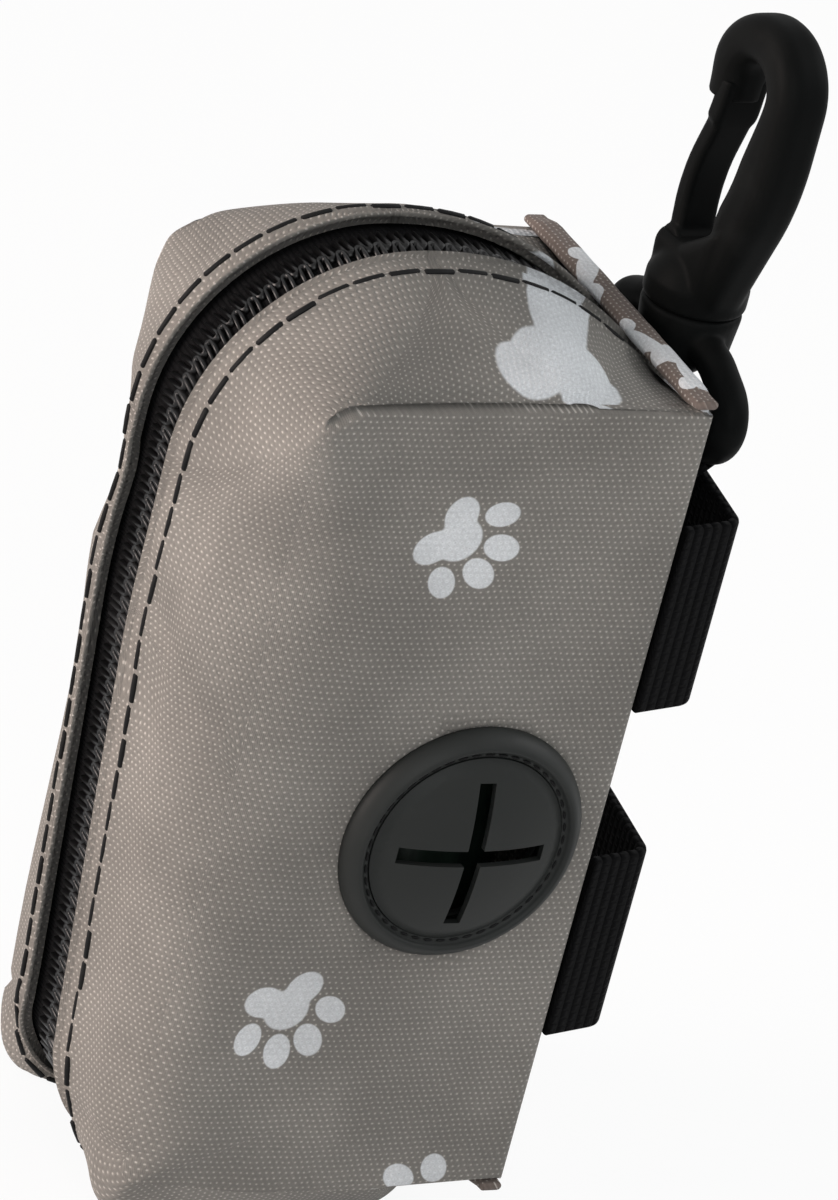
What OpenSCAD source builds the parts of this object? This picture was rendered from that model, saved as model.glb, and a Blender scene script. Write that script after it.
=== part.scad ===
// Dog waste bag dispenser: a zipped fabric pouch that stands on its lower
// cheeks, holds one roll of bags and hangs from a lead by a swivel snap hook.
// Frame: +Z up along the pouch, +X towards the outlet, -Y towards the zip
// front, +Y towards the back with its belt loops. Origin: on the ground under
// the middle of the pouch.

/* [Pouch] */
// Width of the pouch, outlet side to the other side
pouch_w = 42.4; // [38:0.2:56]
// Height of each flat side, lower seam to upper seam
side_h = 94; // [84:0.5:120]
// Outer face of the back panel, behind the middle of the pouch
back_y = 23.2; // [21:0.1:30]
// Front edge of a side at its upper seam, ahead of the middle
front_top_y = 21; // [19:0.1:26]
// Front edge of a side at its lower seam, ahead of the middle
front_low_y = 24.4; // [20:0.1:27]
// Thickness of the padded fabric
wall = 1.2; // [0.8:0.1:1.6]
// Rise of the domed top above the upper side seams
top_rise = 8.8; // [6:0.1:12]
// Bulge of the front ahead of the middle of a side's front edge
front_bulge = 5.4; // [3:0.1:7]
// Height of the lower side seams above the ground
low_seam = 6.5; // [6:0.1:8]
// Ground clearance of the fabric beside the zip
zip_lift = 3.4; // [3.2:0.1:4]

/* [Zip] */
// Half of the gap between the two fabric edges beside the zip
zip_half = 3.5; // [3.2:0.1:4.5]
// Reach of each zip tape from the middle of the zip
tape_w = 9.4; // [8.6:0.1:11]
// Thickness of the zip tape
tape_t = 0.7; // [0.5:0.1:0.8]
// Spacing of the teeth in one row
tooth_pitch = 2; // [1.8:0.1:3]
// Thickness of the teeth
tooth_t = 2.4; // [2:0.1:2.6]
// Reach of a tooth from the middle of the zip
tooth_reach = 2.6; // [2.2:0.1:2.9]
// Overlap of a tooth across the middle of the closed zip
tooth_mesh = 0.6; // [0.3:0.1:0.8]
// Spread of each row where the zip stands open
row_spread = 1.6; // [1.4:0.1:1.9]
// Thickness of the slider's plates
slider_plate = 1.1; // [0.9:0.1:1.2]
// Length of the slider
slider_l = 10; // [9:0.2:11]
// Resting place of the slider's middle along the lower run
slider_y = -6; // [-6.5:0.1:-4]
// Travel of the slider along the lower run, to the end stop
slider_travel = 13; // [8:0.5:13]
// Length of the pull tab, from its pivot
pull_l = 17; // [12:0.5:18]
// Width of the pull tab
pull_w = 5.6; // [4.8:0.1:6]
// Thickness of the pull tab
pull_t = 0.8; // [0.6:0.1:0.9]

/* [Outlet] */
// Height of the outlet above the lower side seams
outlet_h = 43.5; // [36:0.5:56]
// Outlet centre behind the middle of the pouch
outlet_y = 6.5; // [3:0.1:7]
// Outer diameter of the outlet ring
outlet_d = 27.5; // [25:0.1:30]
// Diameter of the rubber membrane
membrane_d = 21.8; // [20:0.1:22.4]
// Height of the outlet ring above the fabric
ring_proud = 2.3; // [1.6:0.1:2.8]
// Outward rise of the membrane's middle
dome = 1.9; // [1:0.1:2.2]
// Thickness of the membrane
membrane_t = 0.8; // [0.6:0.1:1]
// Length of each arm of the cross slit, end to end
slit_l = 17; // [14:0.2:17.4]
// Width of the cross slit
slit_w = 1.9; // [1.4:0.1:2.4]

/* [Webbing] */
// Width of the belt loops' webbing
web_w = 22; // [18:0.5:22]
// Width of the webbing that holds the ring
tab_w = 20; // [18:0.2:21]
// Thickness of the webbing
web_t = 1.2; // [1:0.1:1.4]
// Lower edge of the lower belt loop above the lower side seams
low_loop_h = 18.5; // [16:0.5:24]
// Upper edge of the upper belt loop below the upper side seams
high_loop_drop = 13.6; // [12:0.2:20]
// Reach of a belt loop behind the back panel at its ends
loop_side = 7.3; // [5:0.1:8]
// Reach of a belt loop behind the back panel at its middle
loop_mid = 9.6; // [8.4:0.1:10]
// Height of the two sewn layers of the ring's tab
tab_sewn = 14; // [10:0.5:18]
// Distance from the sewn layers up to the bar
tab_free = 8; // [7.5:0.1:9]

/* [Hook] */
// Height of the ring's bar above the upper belt loop
bar_rise = 4.1; // [4:0.1:6]
// Distance of the bar behind the back panel
bar_off = 6.9; // [6.6:0.1:8]
// Radius of the ring's bar
bar_r = 2; // [1.6:0.05:2]
// Outer width of the ring
ring_w = 30.4; // [29.4:0.1:32]
// Height of the swivel joint above the bar
swivel_h = 11.6; // [11:0.1:14]
// Radius of the swivel stem
stem_r = 2.5; // [2:0.05:2.8]
// Radius of the hook's collar
collar_r = 5.6; // [5.2:0.05:6]
// Height of the hook's collar
collar_h = 3.6; // [3:0.1:5]
// Height of the bow above the collar
bow_h = 33.6; // [30:0.2:40]
// Outer width of the bow
bow_w = 15.8; // [15:0.1:18]
// Width of the bow's bar, seen from its side
bow_bar = 5.2; // [4.4:0.1:5.4]
// Depth of the bow's bar
bow_t = 6.2; // [5:0.1:7]
// Thickness of the gate
gate_t = 2.2; // [1.8:0.1:2.6]
// Direction of the gate around the swivel, from +X towards -Y
gate_turn = 175; // [0:5:180]

/* [Roll] */
// Diameter of the roll of bags
roll_d = 30; // [24:0.5:32]
// Length of the roll of bags
roll_l = 62; // [50:1:66]
// Outer diameter of the roll's cardboard core
core_d = 15; // [12:0.5:18]
// Wall of the roll's cardboard core
core_wall = 1; // [0.6:0.1:1.5]

/* [Hidden] */

fabric = "#8f8279";
black = "#1c1c1d";
rubber = "#262627";
film = "#27302b";
card = "#a98a63";

$fn = 48;
gap = 0.3;             // running clearance between bodies
pin_gap = 0.08;        // radial clearance of a pivot
seam_gap = 0.05;       // between layers that are sewn together
over = 1;              // overshoot of a cutting tool

in_y = back_y - wall;                    // inner face of the back panel
side_x = pouch_w / 2;                    // outer face of a side
top_seam = low_seam + side_h;            // upper side seams
crest = top_seam + top_rise;             // highest line of the fabric
mid_z = (low_seam + top_seam) / 2;
front_y = (front_low_y + front_top_y) / 2;
end_lift = 4.8;                          // rise of the zip at its two ends
tape_off = wall + seam_gap + tape_t / 2; // depth of the tape's middle under the fabric
tape_z = zip_lift + tape_off;            // height of the tape's middle on the lower run

// ---- Lines and bands

function unit(v) = v / norm(v);
function ramp(v) = min(1, max(0, v));

// Points of the rounded corner at b between a and c, in n steps
function corner(a, b, c, r, n) =
    let (u = unit(a - b), v = unit(c - b), half = acos(u * v) / 2,
         mid = b + unit(u + v) * r / sin(half),
         p = b + u * r / tan(half) - mid, q = b + v * r / tan(half) - mid,
         w = 180 - 2 * half)
    [for (k = [0:n]) mid + (p * sin(w * (1 - k / n)) + q * sin(w * k / n)) / sin(w)];

// Line through corners [a, b, radius], with n steps in each corner and m in each run
function rounded(c, n, m) =
    let (last = len(c) - 1, flat = [for (q = c) [q[0], q[1]]],
         arcs = [for (k = [0:last]) k == 0 || k == last ? [flat[k]]
             : corner(flat[k - 1], flat[k], flat[k + 1], c[k][2], n)])
    [for (k = [0:last]) each concat(arcs[k], k == last ? [] :
        let (p = arcs[k][len(arcs[k]) - 1], q = arcs[k + 1][0])
        [for (j = [1:m - 1]) p + (q - p) * j / m])];

// Direction to the left of a line at each of its points
function left_of(line) = [for (k = [0:len(line) - 1])
    let (d = unit(line[min(k + 1, len(line) - 1)] - line[max(k - 1, 0)])) [-d[1], d[0]]];

// Outline of a band of width w along a line
function band(line, w) = let (o = left_of(line))
    concat([for (k = [0:len(line) - 1]) line[k] + o[k] * w / 2],
        [for (k = [len(line) - 1:-1:0]) line[k] - o[k] * w / 2]);

// ---- Pouch

arc_steps = 7;
run_steps = 3;

// Seam around a side: lower run, front and upper run, as [y, z]
side_line = rounded([
    [in_y, low_seam],
    [8, low_seam - 0.4, 60],
    [-front_low_y, low_seam, 3],
    [-front_y - 0.6, mid_z, 200],
    [-front_top_y, top_seam, 4],
    [8, top_seam + 0.4, 60],
    [in_y, top_seam]], arc_steps, run_steps);

// Edge of the fabric beside the zip, as [y, z]
zip_line = rounded([
    [in_y, zip_lift + end_lift],
    [in_y - 5.5, zip_lift, 12],
    [-front_low_y + 0.6, zip_lift, 12],
    [-front_y - front_bulge, mid_z + 14, 120],
    [-front_y - front_bulge + 0.2, crest, 23],
    [in_y - 14, crest, 36],
    [in_y, top_seam - 1.6]], arc_steps, run_steps);

last = len(zip_line) - 1;
side_out = left_of(side_line);
zip_out = [for (k = [0:last]) k == 0 ? [0, -1] : k == last ? [0, 1] : left_of(zip_line)[k]];

// Inner height of the slider's channel, and its half width over the walls
channel = tooth_t + 2 * gap;
slider_wall = 1;
slider_half = tooth_reach + row_spread + gap + slider_wall;

// Fabric edge beside the zip: it stands back along the lower run to let the slider pass
function edge_x(p) = zip_half + (slider_half + gap - zip_half) * ramp((low_seam + 9 - p[1]) / 6);

// Binding over the seams of the back panel
binding_w = 3;
binding_t = 1.3;

// Fullness of the lower cheeks
cheek_drop = 5.2;
function cheek(p) = p[1] > mid_z ? 0
    : cheek_drop * sin(90 * ramp((p[0] + front_low_y - 1) / 9))
    * sin(90 * ramp((back_y - binding_w - p[0]) / 8));

// Point of a half shell: k along the seams, t from the side (0) to the fabric edge (1), d under the face
function shell_point(k, t, d) =
    let (s = side_line[k] - d * side_out[k], z = zip_line[k] - d * zip_out[k], u = min(t, 1),
         p = s + (z - s) * sin(90 * u) + zip_out[k] * cheek(zip_line[k]) * sin(180 * u),
         x0 = side_x - d)
    [x0 - (x0 - edge_x(zip_line[k])) * t, p[0], max(p[1], d)];

// Triangles over n x m points that start at index b
function net(n, m, b) = [for (k = [0:n - 2], j = [0:m - 2]) let (q = b + k * m + j)
    each [[q, q + 1, q + m + 1], [q, q + m + 1, q + m]]];
// Triangles between two matching chains of indices
function lace(a, b) = [for (k = [0:len(a) - 2])
    each [[a[k], b[k], b[k + 1]], [a[k], b[k + 1], a[k + 1]]]];
function turned(f) = [for (q = f) [for (k = [len(q) - 1:-1:0]) q[k]]];

// Solid between two nets of n x m points each, outer one first; with hubs, one on each face, the
// nets' first edges are closed over as flat sides that fan out from them
module sheet(points, n, m, hubs = []) {
    b = n * m;
    low = [for (j = [0:m - 1]) j];
    high = [for (j = [0:m - 1]) (n - 1) * m + j];
    side = [for (k = [0:n - 1]) k * m];
    edge = [for (k = [0:n - 1]) k * m + m - 1];
    ring = concat(side, [side[0]]);
    rim = hubs == [] ? lace([for (q = side) b + q], side)
        : concat([for (k = [0:n - 1]) each [[ring[k], ring[k + 1], 2 * b],
                [b + ring[k + 1], b + ring[k], 2 * b + 1]]],
            [[side[0], side[n - 1], b + side[n - 1]], [side[0], b + side[n - 1], b + side[0]]]);
    polyhedron(concat(points, hubs), concat(net(n, m, 0), turned(net(n, m, b)), rim,
        lace([for (q = low) q], [for (q = low) b + q]),
        lace([for (q = high) b + q], high),
        lace(edge, [for (q = edge) b + q])), convexity = 8);
}

shell_steps = 7;
module half_shell() {
    sheet([for (d = [0, wall], k = [0:last], j = [0:shell_steps])
        shell_point(k, j / shell_steps, d)], last + 1, shell_steps + 1,
        hubs = [for (d = [0, wall]) [side_x - d, 0, mid_z]]);
}

outlet_z = low_seam + outlet_h;
module at_outlet() { translate([side_x, outlet_y, outlet_z]) rotate([0, 90, 0]) children(); }

rim_w = (outlet_d - membrane_d) / 2;     // width of the outlet ring's face
neck_r = membrane_d / 2 + 0.35 * rim_w;  // outlet ring's neck, in the hole of the fabric
module right_shell() color(fabric) difference() {
    half_shell();
    at_outlet() cylinder(r = neck_r + seam_gap, h = 8 * wall, center = true);
}
module left_shell() color(fabric) mirror([1, 0, 0]) half_shell();

module back_panel() color(fabric)
    translate([-side_x, in_y, low_seam]) cube([pouch_w, wall, side_h]);

module back_binding() color(fabric)
    for (z = [top_seam + seam_gap, low_seam - seam_gap - binding_t])
        translate([-side_x, back_y - binding_w, z]) cube([pouch_w, binding_w, binding_t]);

// ---- Zip

// Spread of a row at a point of the zip line: the zip stands open behind the slider
function spread(p) = p[1] > mid_z ? 0 : p[1] > low_seam + 6 ? 0 : row_spread * ramp((p[0] - slider_y) / 3);

// Middle of the tape, and its length up to each point
mid_line = [for (k = [0:last]) zip_line[k] - tape_off * zip_out[k]];
run = [for (k = 0, s = 0; k <= last;
    s = s + (k < last ? norm(mid_line[k + 1] - mid_line[k]) : 0), k = k + 1) s];
run_y = [for (k = [0:last]) [run[k], mid_line[k][0]]];
run_z = [for (k = [0:last]) [run[k], mid_line[k][1]]];
function along(s) = [lookup(s, run_y), lookup(s, run_z)];
function slope(s) = let (d = along(s + 0.5) - along(s - 0.5)) atan2(d[1], d[0]);

// Length along the tape of a place y on the straight lower run
flat_k = arc_steps + run_steps;
function run_at(y) = run[flat_k] + mid_line[flat_k][0] - y;

module at_run(s) { translate([0, along(s)[0], along(s)[1]]) rotate([slope(s), 0, 0]) children(); }

// Point of the right tape at x from the middle of the zip, d under the fabric's face
function tape_point(k, x, d) =
    let (x0 = side_x - d, out = edge_x(zip_line[k]), t = (x0 - x) / (x0 - out),
        j = min(floor(t * shell_steps), shell_steps - 1), a = shell_point(k, j / shell_steps, d),
        b = shell_point(k, (j + 1) / shell_steps, d), q = t < 1 ? a + (t * shell_steps - j) * (b - a) : b)
    [x, q[1], q[2]];

// The same at a place between two steps
function tape_at(s, x, d) = let (k = min(floor(s), last - 1), p = tape_point(k, x, d))
    p + (s - k) * (tape_point(k + 1, x, d) - p);

// Steps of the tape: the straight lower run is split finer, since the tape's edge follows the spread there
tape_split = 8;
tape_steps = concat([for (k = [0:last - 1]) each k < flat_k || k >= flat_k + run_steps ? [k]
    : [for (j = [0:tape_split - 1]) k + j / tape_split]], [last]);
module tape() {
    sheet([for (d = [wall + seam_gap, wall + seam_gap + tape_t], s = tape_steps)
        let (k = min(floor(s), last - 1), p = zip_line[k] + (s - k) * (zip_line[k + 1] - zip_line[k]),
            inner = tooth_reach + seam_gap + spread(p + [tooth_l, 0]), out = edge_x(p),
            fold = out + (side_x - wall - out) / shell_steps)
        each [for (x = [tape_w, fold, out, inner]) tape_at(s, x, d)]], len(tape_steps), 4);
}
module zip_tape_right() color(black) tape();
module zip_tape_left() color(black) mirror([1, 0, 0]) tape();

stop_l = 2;
stop_y = slider_y + slider_travel + slider_l / 2 + gap;  // front face of the end stop
first_tooth = run_at(stop_y) + gap;
last_tooth = run[last] - stop_l - 3;
tooth_l = tooth_pitch * 0.38;
tooth_n = floor((last_tooth - first_tooth) / tooth_pitch - 0.5);

// A row of teeth, shifted along the tape by a share of the pitch
module teeth(shift) for (k = [0:tooth_n - 1]) {
    s = first_tooth + (k + shift) * tooth_pitch;
    at_run(s) translate([spread(along(s) - [0, tape_off]) - tooth_mesh, 0, -tooth_t / 2])
        cube([tooth_reach + tooth_mesh, tooth_l, tooth_t]);
}
module zip_teeth_right() color(black) teeth(0);
module zip_teeth_left() color(black) mirror([1, 0, 0]) teeth(0.5);

// The end stop across both rows, and the two stops at the upper end
module zip_stops() color(black) {
    wide = tooth_reach + row_spread - seam_gap;
    translate([-wide, stop_y, tape_z - tooth_t / 2]) cube([2 * wide, stop_l, tooth_t]);
    for (side = [0, 1]) mirror([side, 0, 0]) at_run(last_tooth + 1)
        translate([0.2, 0, -tooth_t / 2]) cube([tooth_reach - 0.2, stop_l, tooth_t]);
}

// Slider, in its own frame: origin in the middle of the tape, outside of the pouch downwards
bridge_h = 2;
bridge_t = 0.8;
bridge_w = 1.8;
bridge_l = 6.4;
post_w = 1.2;
pull_z = -(channel / 2 + slider_plate + (bridge_h - bridge_t) / 2);  // pivot of the pull
module at_slider() { translate([0, slider_y, tape_z]) children(); }
module slider_outline(h) linear_extrude(h) let (a = slider_l / 2, b = slider_half, c = 1.6)
    polygon([[-b + c, -a], [b - c, -a], [b, -a + c], [b, a - c], [b - c, a], [c, a],
        [0, a - c], [-c, a], [-b + c, a], [-b, a - c], [-b, -a + c]]);
module zip_slider() color(black) at_slider() {
    lip = (channel - tape_t) / 2 - gap;
    for (side = [0, 1]) mirror([0, 0, side]) {
        translate([0, 0, channel / 2]) slider_outline(slider_plate);
        for (turn = [0, 1]) mirror([turn, 0, 0])
            translate([slider_half - slider_wall, -slider_l / 2 + 1.6, channel / 2 - lip])
                cube([slider_wall, slider_l - 3.2, lip + slider_plate / 2]);
    }
    translate([-post_w / 2, slider_l / 2 - 2.4, -channel / 2 - slider_plate / 2])
        cube([post_w, 2.1, channel + slider_plate]);
    translate([0, 0, -channel / 2 - slider_plate]) difference() {
        translate([-bridge_w / 2, -bridge_l / 2, -bridge_h]) cube([bridge_w, bridge_l, bridge_h + 0.4]);
        translate([-bridge_w, -bridge_l / 2 + 1, -bridge_h + bridge_t])
            cube([2 * bridge_w, bridge_l - 2, bridge_h - bridge_t]);
    }
}

// Pull tab: a bar through the bridge, two arms and a plate with a hole
eye_r = 0.45;
eye_l = 4.2;
module zip_pull() color(black) at_slider() translate([0, 0, pull_z]) {
    arm = (pull_w - bridge_w) / 2 - 0.4;
    rotate([0, 90, 0]) cylinder(r = eye_r, h = pull_w, center = true);
    for (side = [0, 1]) mirror([side, 0, 0]) translate([pull_w / 2 - arm, 0, -pull_t / 2])
        cube([arm, eye_l + 0.5, pull_t]);
    difference() {
        union() {
            translate([-pull_w / 2, eye_l, -pull_t / 2]) cube([pull_w, pull_l - eye_l - pull_w / 2, pull_t]);
            translate([0, pull_l - pull_w / 2, 0]) cylinder(d = pull_w, h = pull_t, center = true);
        }
        translate([0, pull_l - pull_w / 2, 0]) cylinder(d = pull_w / 2, h = 2 * pull_t, center = true);
    }
}

// ---- Outlet, in a frame with +Z out of the side: x is then -Z of the pouch

groove_r = membrane_d / 2;
ball_r = (groove_r * groove_r + dome * dome) / (2 * dome);  // sphere that holds the dome
hinge_r = (slit_l + slit_w) / 2 / sqrt(2);                  // centre to a flap's bending line
bend_gap = 0.2;                                             // half gap along the bending line
seat_h = ring_proud - membrane_t - 0.3;                     // height of the membrane's rim

module outlet_ring() color(rubber) at_outlet() rotate_extrude($fn = 96)
    polygon([[groove_r + seam_gap, 0], [groove_r + seam_gap, seat_h + membrane_t],
        [groove_r + 0.28 * rim_w, ring_proud], [outlet_d / 2 - 0.46 * rim_w, ring_proud], [outlet_d / 2, 0.5],
        [outlet_d / 2, seam_gap], [neck_r, seam_gap], [neck_r, -wall - seam_gap], [groove_r - 0.6, -wall - seam_gap],
        [groove_r - 0.6, 0]]);
module outlet_backing() color(rubber) at_outlet() translate([0, 0, -2 * wall - 2 * seam_gap]) difference() {
    cylinder(d = outlet_d - 1.4, h = wall, $fn = 96);
    translate([0, 0, -over]) cylinder(r = groove_r - 0.6, h = wall + 2 * over, $fn = 96);
}

// Domed skin of the membrane, kept where the children are
module skin() at_outlet() translate([0, 0, seat_h]) intersection() {
    difference() {
        translate([0, 0, dome - ball_r + membrane_t]) sphere(r = ball_r, $fn = 160);
        translate([0, 0, dome - ball_r]) sphere(r = ball_r, $fn = 160);
    }
    linear_extrude(3 * dome + membrane_t) children();
}
module outlet_membrane() color(rubber) skin() difference() {
    circle(r = groove_r, $fn = 96);
    intersection() {
        rotate(45) square(2 * (hinge_r + bend_gap), center = true);
        square(slit_l, center = true);
    }
}
module flap(turn) color(rubber) skin() rotate(turn) polygon([
    [slit_w / 2, slit_w / 2],
    [(hinge_r - bend_gap) * sqrt(2) - slit_w / 2, slit_w / 2],
    [slit_w / 2, (hinge_r - bend_gap) * sqrt(2) - slit_w / 2]]);
module outlet_flap_a() flap(0);
module outlet_flap_b() flap(90);
module outlet_flap_c() flap(180);
module outlet_flap_d() flap(270);

// ---- Webbing

high_loop_h = side_h - high_loop_drop - web_w;  // lower edge of the upper loop above the lower side seams
module belt_loop(h) color(black) translate([0, back_y, low_seam + h]) linear_extrude(web_w)
    polygon(band(rounded([
        [-side_x + 0.6, seam_gap + 0.15],
        [-side_x + 2.2, loop_side, 2],
        [0, loop_mid, 60],
        [side_x - 2.2, loop_side, 2],
        [side_x - 0.6, seam_gap + 0.15]], 6, 2), web_t));
module upper_belt_loop() belt_loop(high_loop_h);
module lower_belt_loop() belt_loop(low_loop_h);

bar_y = back_y + bar_off;
bar_z = low_seam + high_loop_h + web_w + bar_rise;
tab_r = bar_r + pin_gap;                 // inside of the webbing around the bar
tab_top = bar_z - tab_free;              // upper end of the sewn layers
tab_low = tab_top - tab_sewn;            // lower end of the sewn layers
module hook_tab() color(black) {
    lean = unit([bar_y - back_y - web_t, bar_z - tab_top]);
    side = [-lean[1], lean[0]];
    root = [back_y + seam_gap + web_t, tab_top];
    bar = [bar_y, bar_z];
    rotate([90, 0, 90]) translate([0, 0, -tab_w / 2]) linear_extrude(tab_w) difference() {
        union() {
            translate([back_y + seam_gap, tab_low]) square([2 * web_t, tab_top - tab_low]);
            translate(bar) circle(r = tab_r + web_t);
            polygon([root + [-web_t, -0.6], root + [web_t, -1.4],
                bar - side * (tab_r + web_t), bar + side * (tab_r + web_t)]);
        }
        translate(bar) circle(r = tab_r);
        polygon([root + [-0.02, 0.8], root + [0.02, 0.8], bar - side * tab_r, bar + side * tab_r]);
    }
}

// ---- Swivel hook

socket_r = 5;
socket_h = 5.6;
socket_z = bar_z + swivel_h - socket_h;  // lower face of the socket
collar_z = bar_z + swivel_h + 0.15;      // lower face of the hook's collar
head_h = 2;

elbow = 0.06;                            // how far a rod's elbows stand proud of its runs
module rod(points, r) for (k = [0:len(points) - 2]) let (d = points[k + 1] - points[k]) {
    translate(points[k]) {
        sphere(r = r + elbow);
        rotate([0, acos(d[2] / norm(d)), atan2(d[1], d[0])]) cylinder(r = r, h = norm(d));
    }
    if (k == len(points) - 2) translate(points[k + 1]) sphere(r = r + elbow);
}
module swivel_base() color(black) translate([0, bar_y, 0]) {
    half = ring_w / 2 - bar_r;
    rotate([0, 90, 0]) translate([-bar_z, 0, -half]) cylinder(r = bar_r, h = 2 * half);
    difference() {
        union() {
            for (side = [-1, 1]) rod([[side * half, 0, bar_z], [side * half, 0, bar_z + 4.2],
                [side * (half - 2.6), 0, bar_z + 7.4], [side * 3.6, 0, socket_z + socket_h / 2]], bar_r);
            translate([0, 0, socket_z]) cylinder(r1 = socket_r, r2 = collar_r, h = socket_h, $fn = 64);
        }
        translate([0, 0, socket_z - over]) cylinder(r = stem_r + pin_gap, h = socket_h + 2 * over);
        translate([0, 0, socket_z - 3]) cylinder(r = socket_r, h = 3);
    }
}

// Hook, in its own frame: origin at the collar's lower face, x towards the gate
module at_hook() { translate([0, bar_y, collar_z]) rotate([0, 0, -gate_turn]) children(); }
module plate(t) rotate([90, 0, 0]) linear_extrude(t, center = true) children();
back_u = -bow_w * 0.68;                  // outer edge of the bow's back
front_u = bow_w + back_u;                // outer edge of the nose
turn_r = (bow_w - bow_bar) / 2 - 0.2;
gate_u = collar_r - 2.3;
gate_z = collar_h + 1.8;
gate_root_r = 1.7;
lip_t = 1.8;
nose_z = bow_h - 11.4;
gate_l = nose_z - gate_z;                // rise from the gate's root to the nose

module snap_hook() color(black) at_hook() {
    cylinder(r = collar_r, h = collar_h, $fn = 64);
    translate([0, 0, -socket_h - 0.3 - head_h]) cylinder(r = stem_r, h = socket_h + head_h + over);
    translate([0, 0, -socket_h - 0.3 - head_h]) cylinder(r1 = stem_r - 0.4, r2 = socket_r - 0.9, h = head_h);
    difference() {
        union() {
            plate(bow_t) polygon(band(rounded([
                [-2.8, 1],
                [back_u + bow_bar / 2, 13, 16],
                [back_u + bow_bar / 2, bow_h - bow_bar / 2, turn_r],
                [front_u - bow_bar / 2, bow_h - bow_bar / 2, turn_r],
                [front_u - bow_bar / 2, nose_z]], 8, 1), bow_bar));
            plate(bow_t + 1) polygon([[-4.8, collar_h - 0.4], [collar_r, collar_h - 0.4], [collar_r, gate_z + 0.6],
                [gate_u, gate_z + 0.6], [0.4, gate_z + 1.6], [-3, gate_z + 5], [-6, gate_z + 5]]);
        }
        translate([gate_u, 0, gate_z]) rotate([90, 0, 0])
            cylinder(r = gate_root_r + pin_gap, h = 2 * bow_t, center = true);
        translate([front_u - lip_t - 6, -bow_t, nose_z - over]) cube([6, 2 * bow_t, over + 3.6]);
    }
}
module hook_gate() color(black) at_hook() {
    plate(bow_t - 0.8) polygon(band(rounded([
        [gate_u, gate_z],
        [gate_u + 0.9, gate_z + 0.42 * gate_l, 1.2 * gate_l],
        [front_u - lip_t - 1.6, gate_z + 0.92 * gate_l, 0.7 * gate_l],
        [front_u - lip_t - 1.9, gate_z + 1.17 * gate_l]], 5, 1), gate_t));
    translate([gate_u, 0, gate_z]) rotate([90, 0, 0]) cylinder(r = gate_root_r, h = bow_t - 0.8, center = true);
}

// ---- Roll

roll_y = in_y - gap - roll_d / 2;
roll_z = zip_lift + end_lift + wall + seam_gap + tape_t + gap;
module bag_roll() color(film) translate([0, roll_y, roll_z]) difference() {
    cylinder(d = roll_d, h = roll_l, $fn = 96);
    translate([0, 0, -over]) cylinder(r = core_d / 2 + seam_gap, h = roll_l + 2 * over);
}
module roll_core() color(card) translate([0, roll_y, roll_z]) difference() {
    cylinder(d = core_d, h = roll_l);
    translate([0, 0, -over]) cylinder(r = core_d / 2 - core_wall, h = roll_l + 2 * over);
}

right_shell();
left_shell();
back_panel();
back_binding();
zip_tape_right();
zip_tape_left();
zip_teeth_right();
zip_teeth_left();
zip_stops();
zip_slider();
zip_pull();
outlet_ring();
outlet_backing();
outlet_membrane();
outlet_flap_a();
outlet_flap_b();
outlet_flap_c();
outlet_flap_d();
upper_belt_loop();
lower_belt_loop();
hook_tab();
swivel_base();
snap_hook();
hook_gate();
bag_roll();
roll_core();
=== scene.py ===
"""Looks of a dog waste bag dispenser: a zipped fabric pouch, its rubber outlet and its swivel hook.

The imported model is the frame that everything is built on. Each piece is worked out in millimetres in that
frame, brought to metres and laid on the body that carries it.
"""

from __future__ import annotations

import logging
import math
from collections.abc import Callable, Sequence
from dataclasses import dataclass, field
from enum import Enum

import bmesh
import bpy
from mathutils import Matrix, Vector, noise

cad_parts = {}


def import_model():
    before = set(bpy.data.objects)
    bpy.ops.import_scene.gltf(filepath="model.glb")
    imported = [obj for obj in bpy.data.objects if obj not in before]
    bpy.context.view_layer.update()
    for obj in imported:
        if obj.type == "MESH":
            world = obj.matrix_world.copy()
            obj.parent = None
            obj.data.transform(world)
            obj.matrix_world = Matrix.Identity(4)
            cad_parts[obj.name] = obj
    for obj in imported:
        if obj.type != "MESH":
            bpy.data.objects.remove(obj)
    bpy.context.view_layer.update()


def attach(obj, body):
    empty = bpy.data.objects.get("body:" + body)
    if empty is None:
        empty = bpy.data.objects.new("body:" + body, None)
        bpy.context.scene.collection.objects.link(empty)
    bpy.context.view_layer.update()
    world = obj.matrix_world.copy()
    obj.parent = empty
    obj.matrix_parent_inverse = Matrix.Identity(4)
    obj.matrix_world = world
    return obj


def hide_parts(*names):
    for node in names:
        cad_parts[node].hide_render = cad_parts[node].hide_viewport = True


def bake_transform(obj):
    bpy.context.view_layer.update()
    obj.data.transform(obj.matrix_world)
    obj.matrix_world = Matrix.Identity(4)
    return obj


MM = 0.001
WELD = 0.001  # millimetres within which points are joined
LOG = logging.getLogger("dispenser")

Point = tuple[float, float]
Ring = list[Vector]


class Side(Enum):
    """A half of the pouch, by the sign of its x."""

    RIGHT = 1
    LEFT = -1


class Motif(Enum):
    """Shape of a print on the fabric."""

    PAW = "paw"
    BONE = "bone"


# ---- Lines


def corner(a: Vector, b: Vector, c: Vector, radius: float, steps: int) -> list[Vector]:
    """Rounds the corner at b between a and c.

    Args:
        a: Point before the corner.
        b: The corner.
        c: Point after the corner.
        radius: Radius of the rounding.
        steps: Number of steps along it.

    Returns:
        The points of the arc, both ends among them.
    """
    u, v = (a - b).normalized(), (c - b).normalized()
    half = u.angle(v) / 2
    mid = b + (u + v).normalized() * (radius / math.sin(half))
    p = b + u * (radius / math.tan(half)) - mid
    q = b + v * (radius / math.tan(half)) - mid
    w = math.pi - 2 * half
    shares = [k / steps for k in range(steps + 1)]
    return [mid + (p * math.sin(w * (1 - t)) + q * math.sin(w * t)) / math.sin(w) for t in shares]


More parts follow.
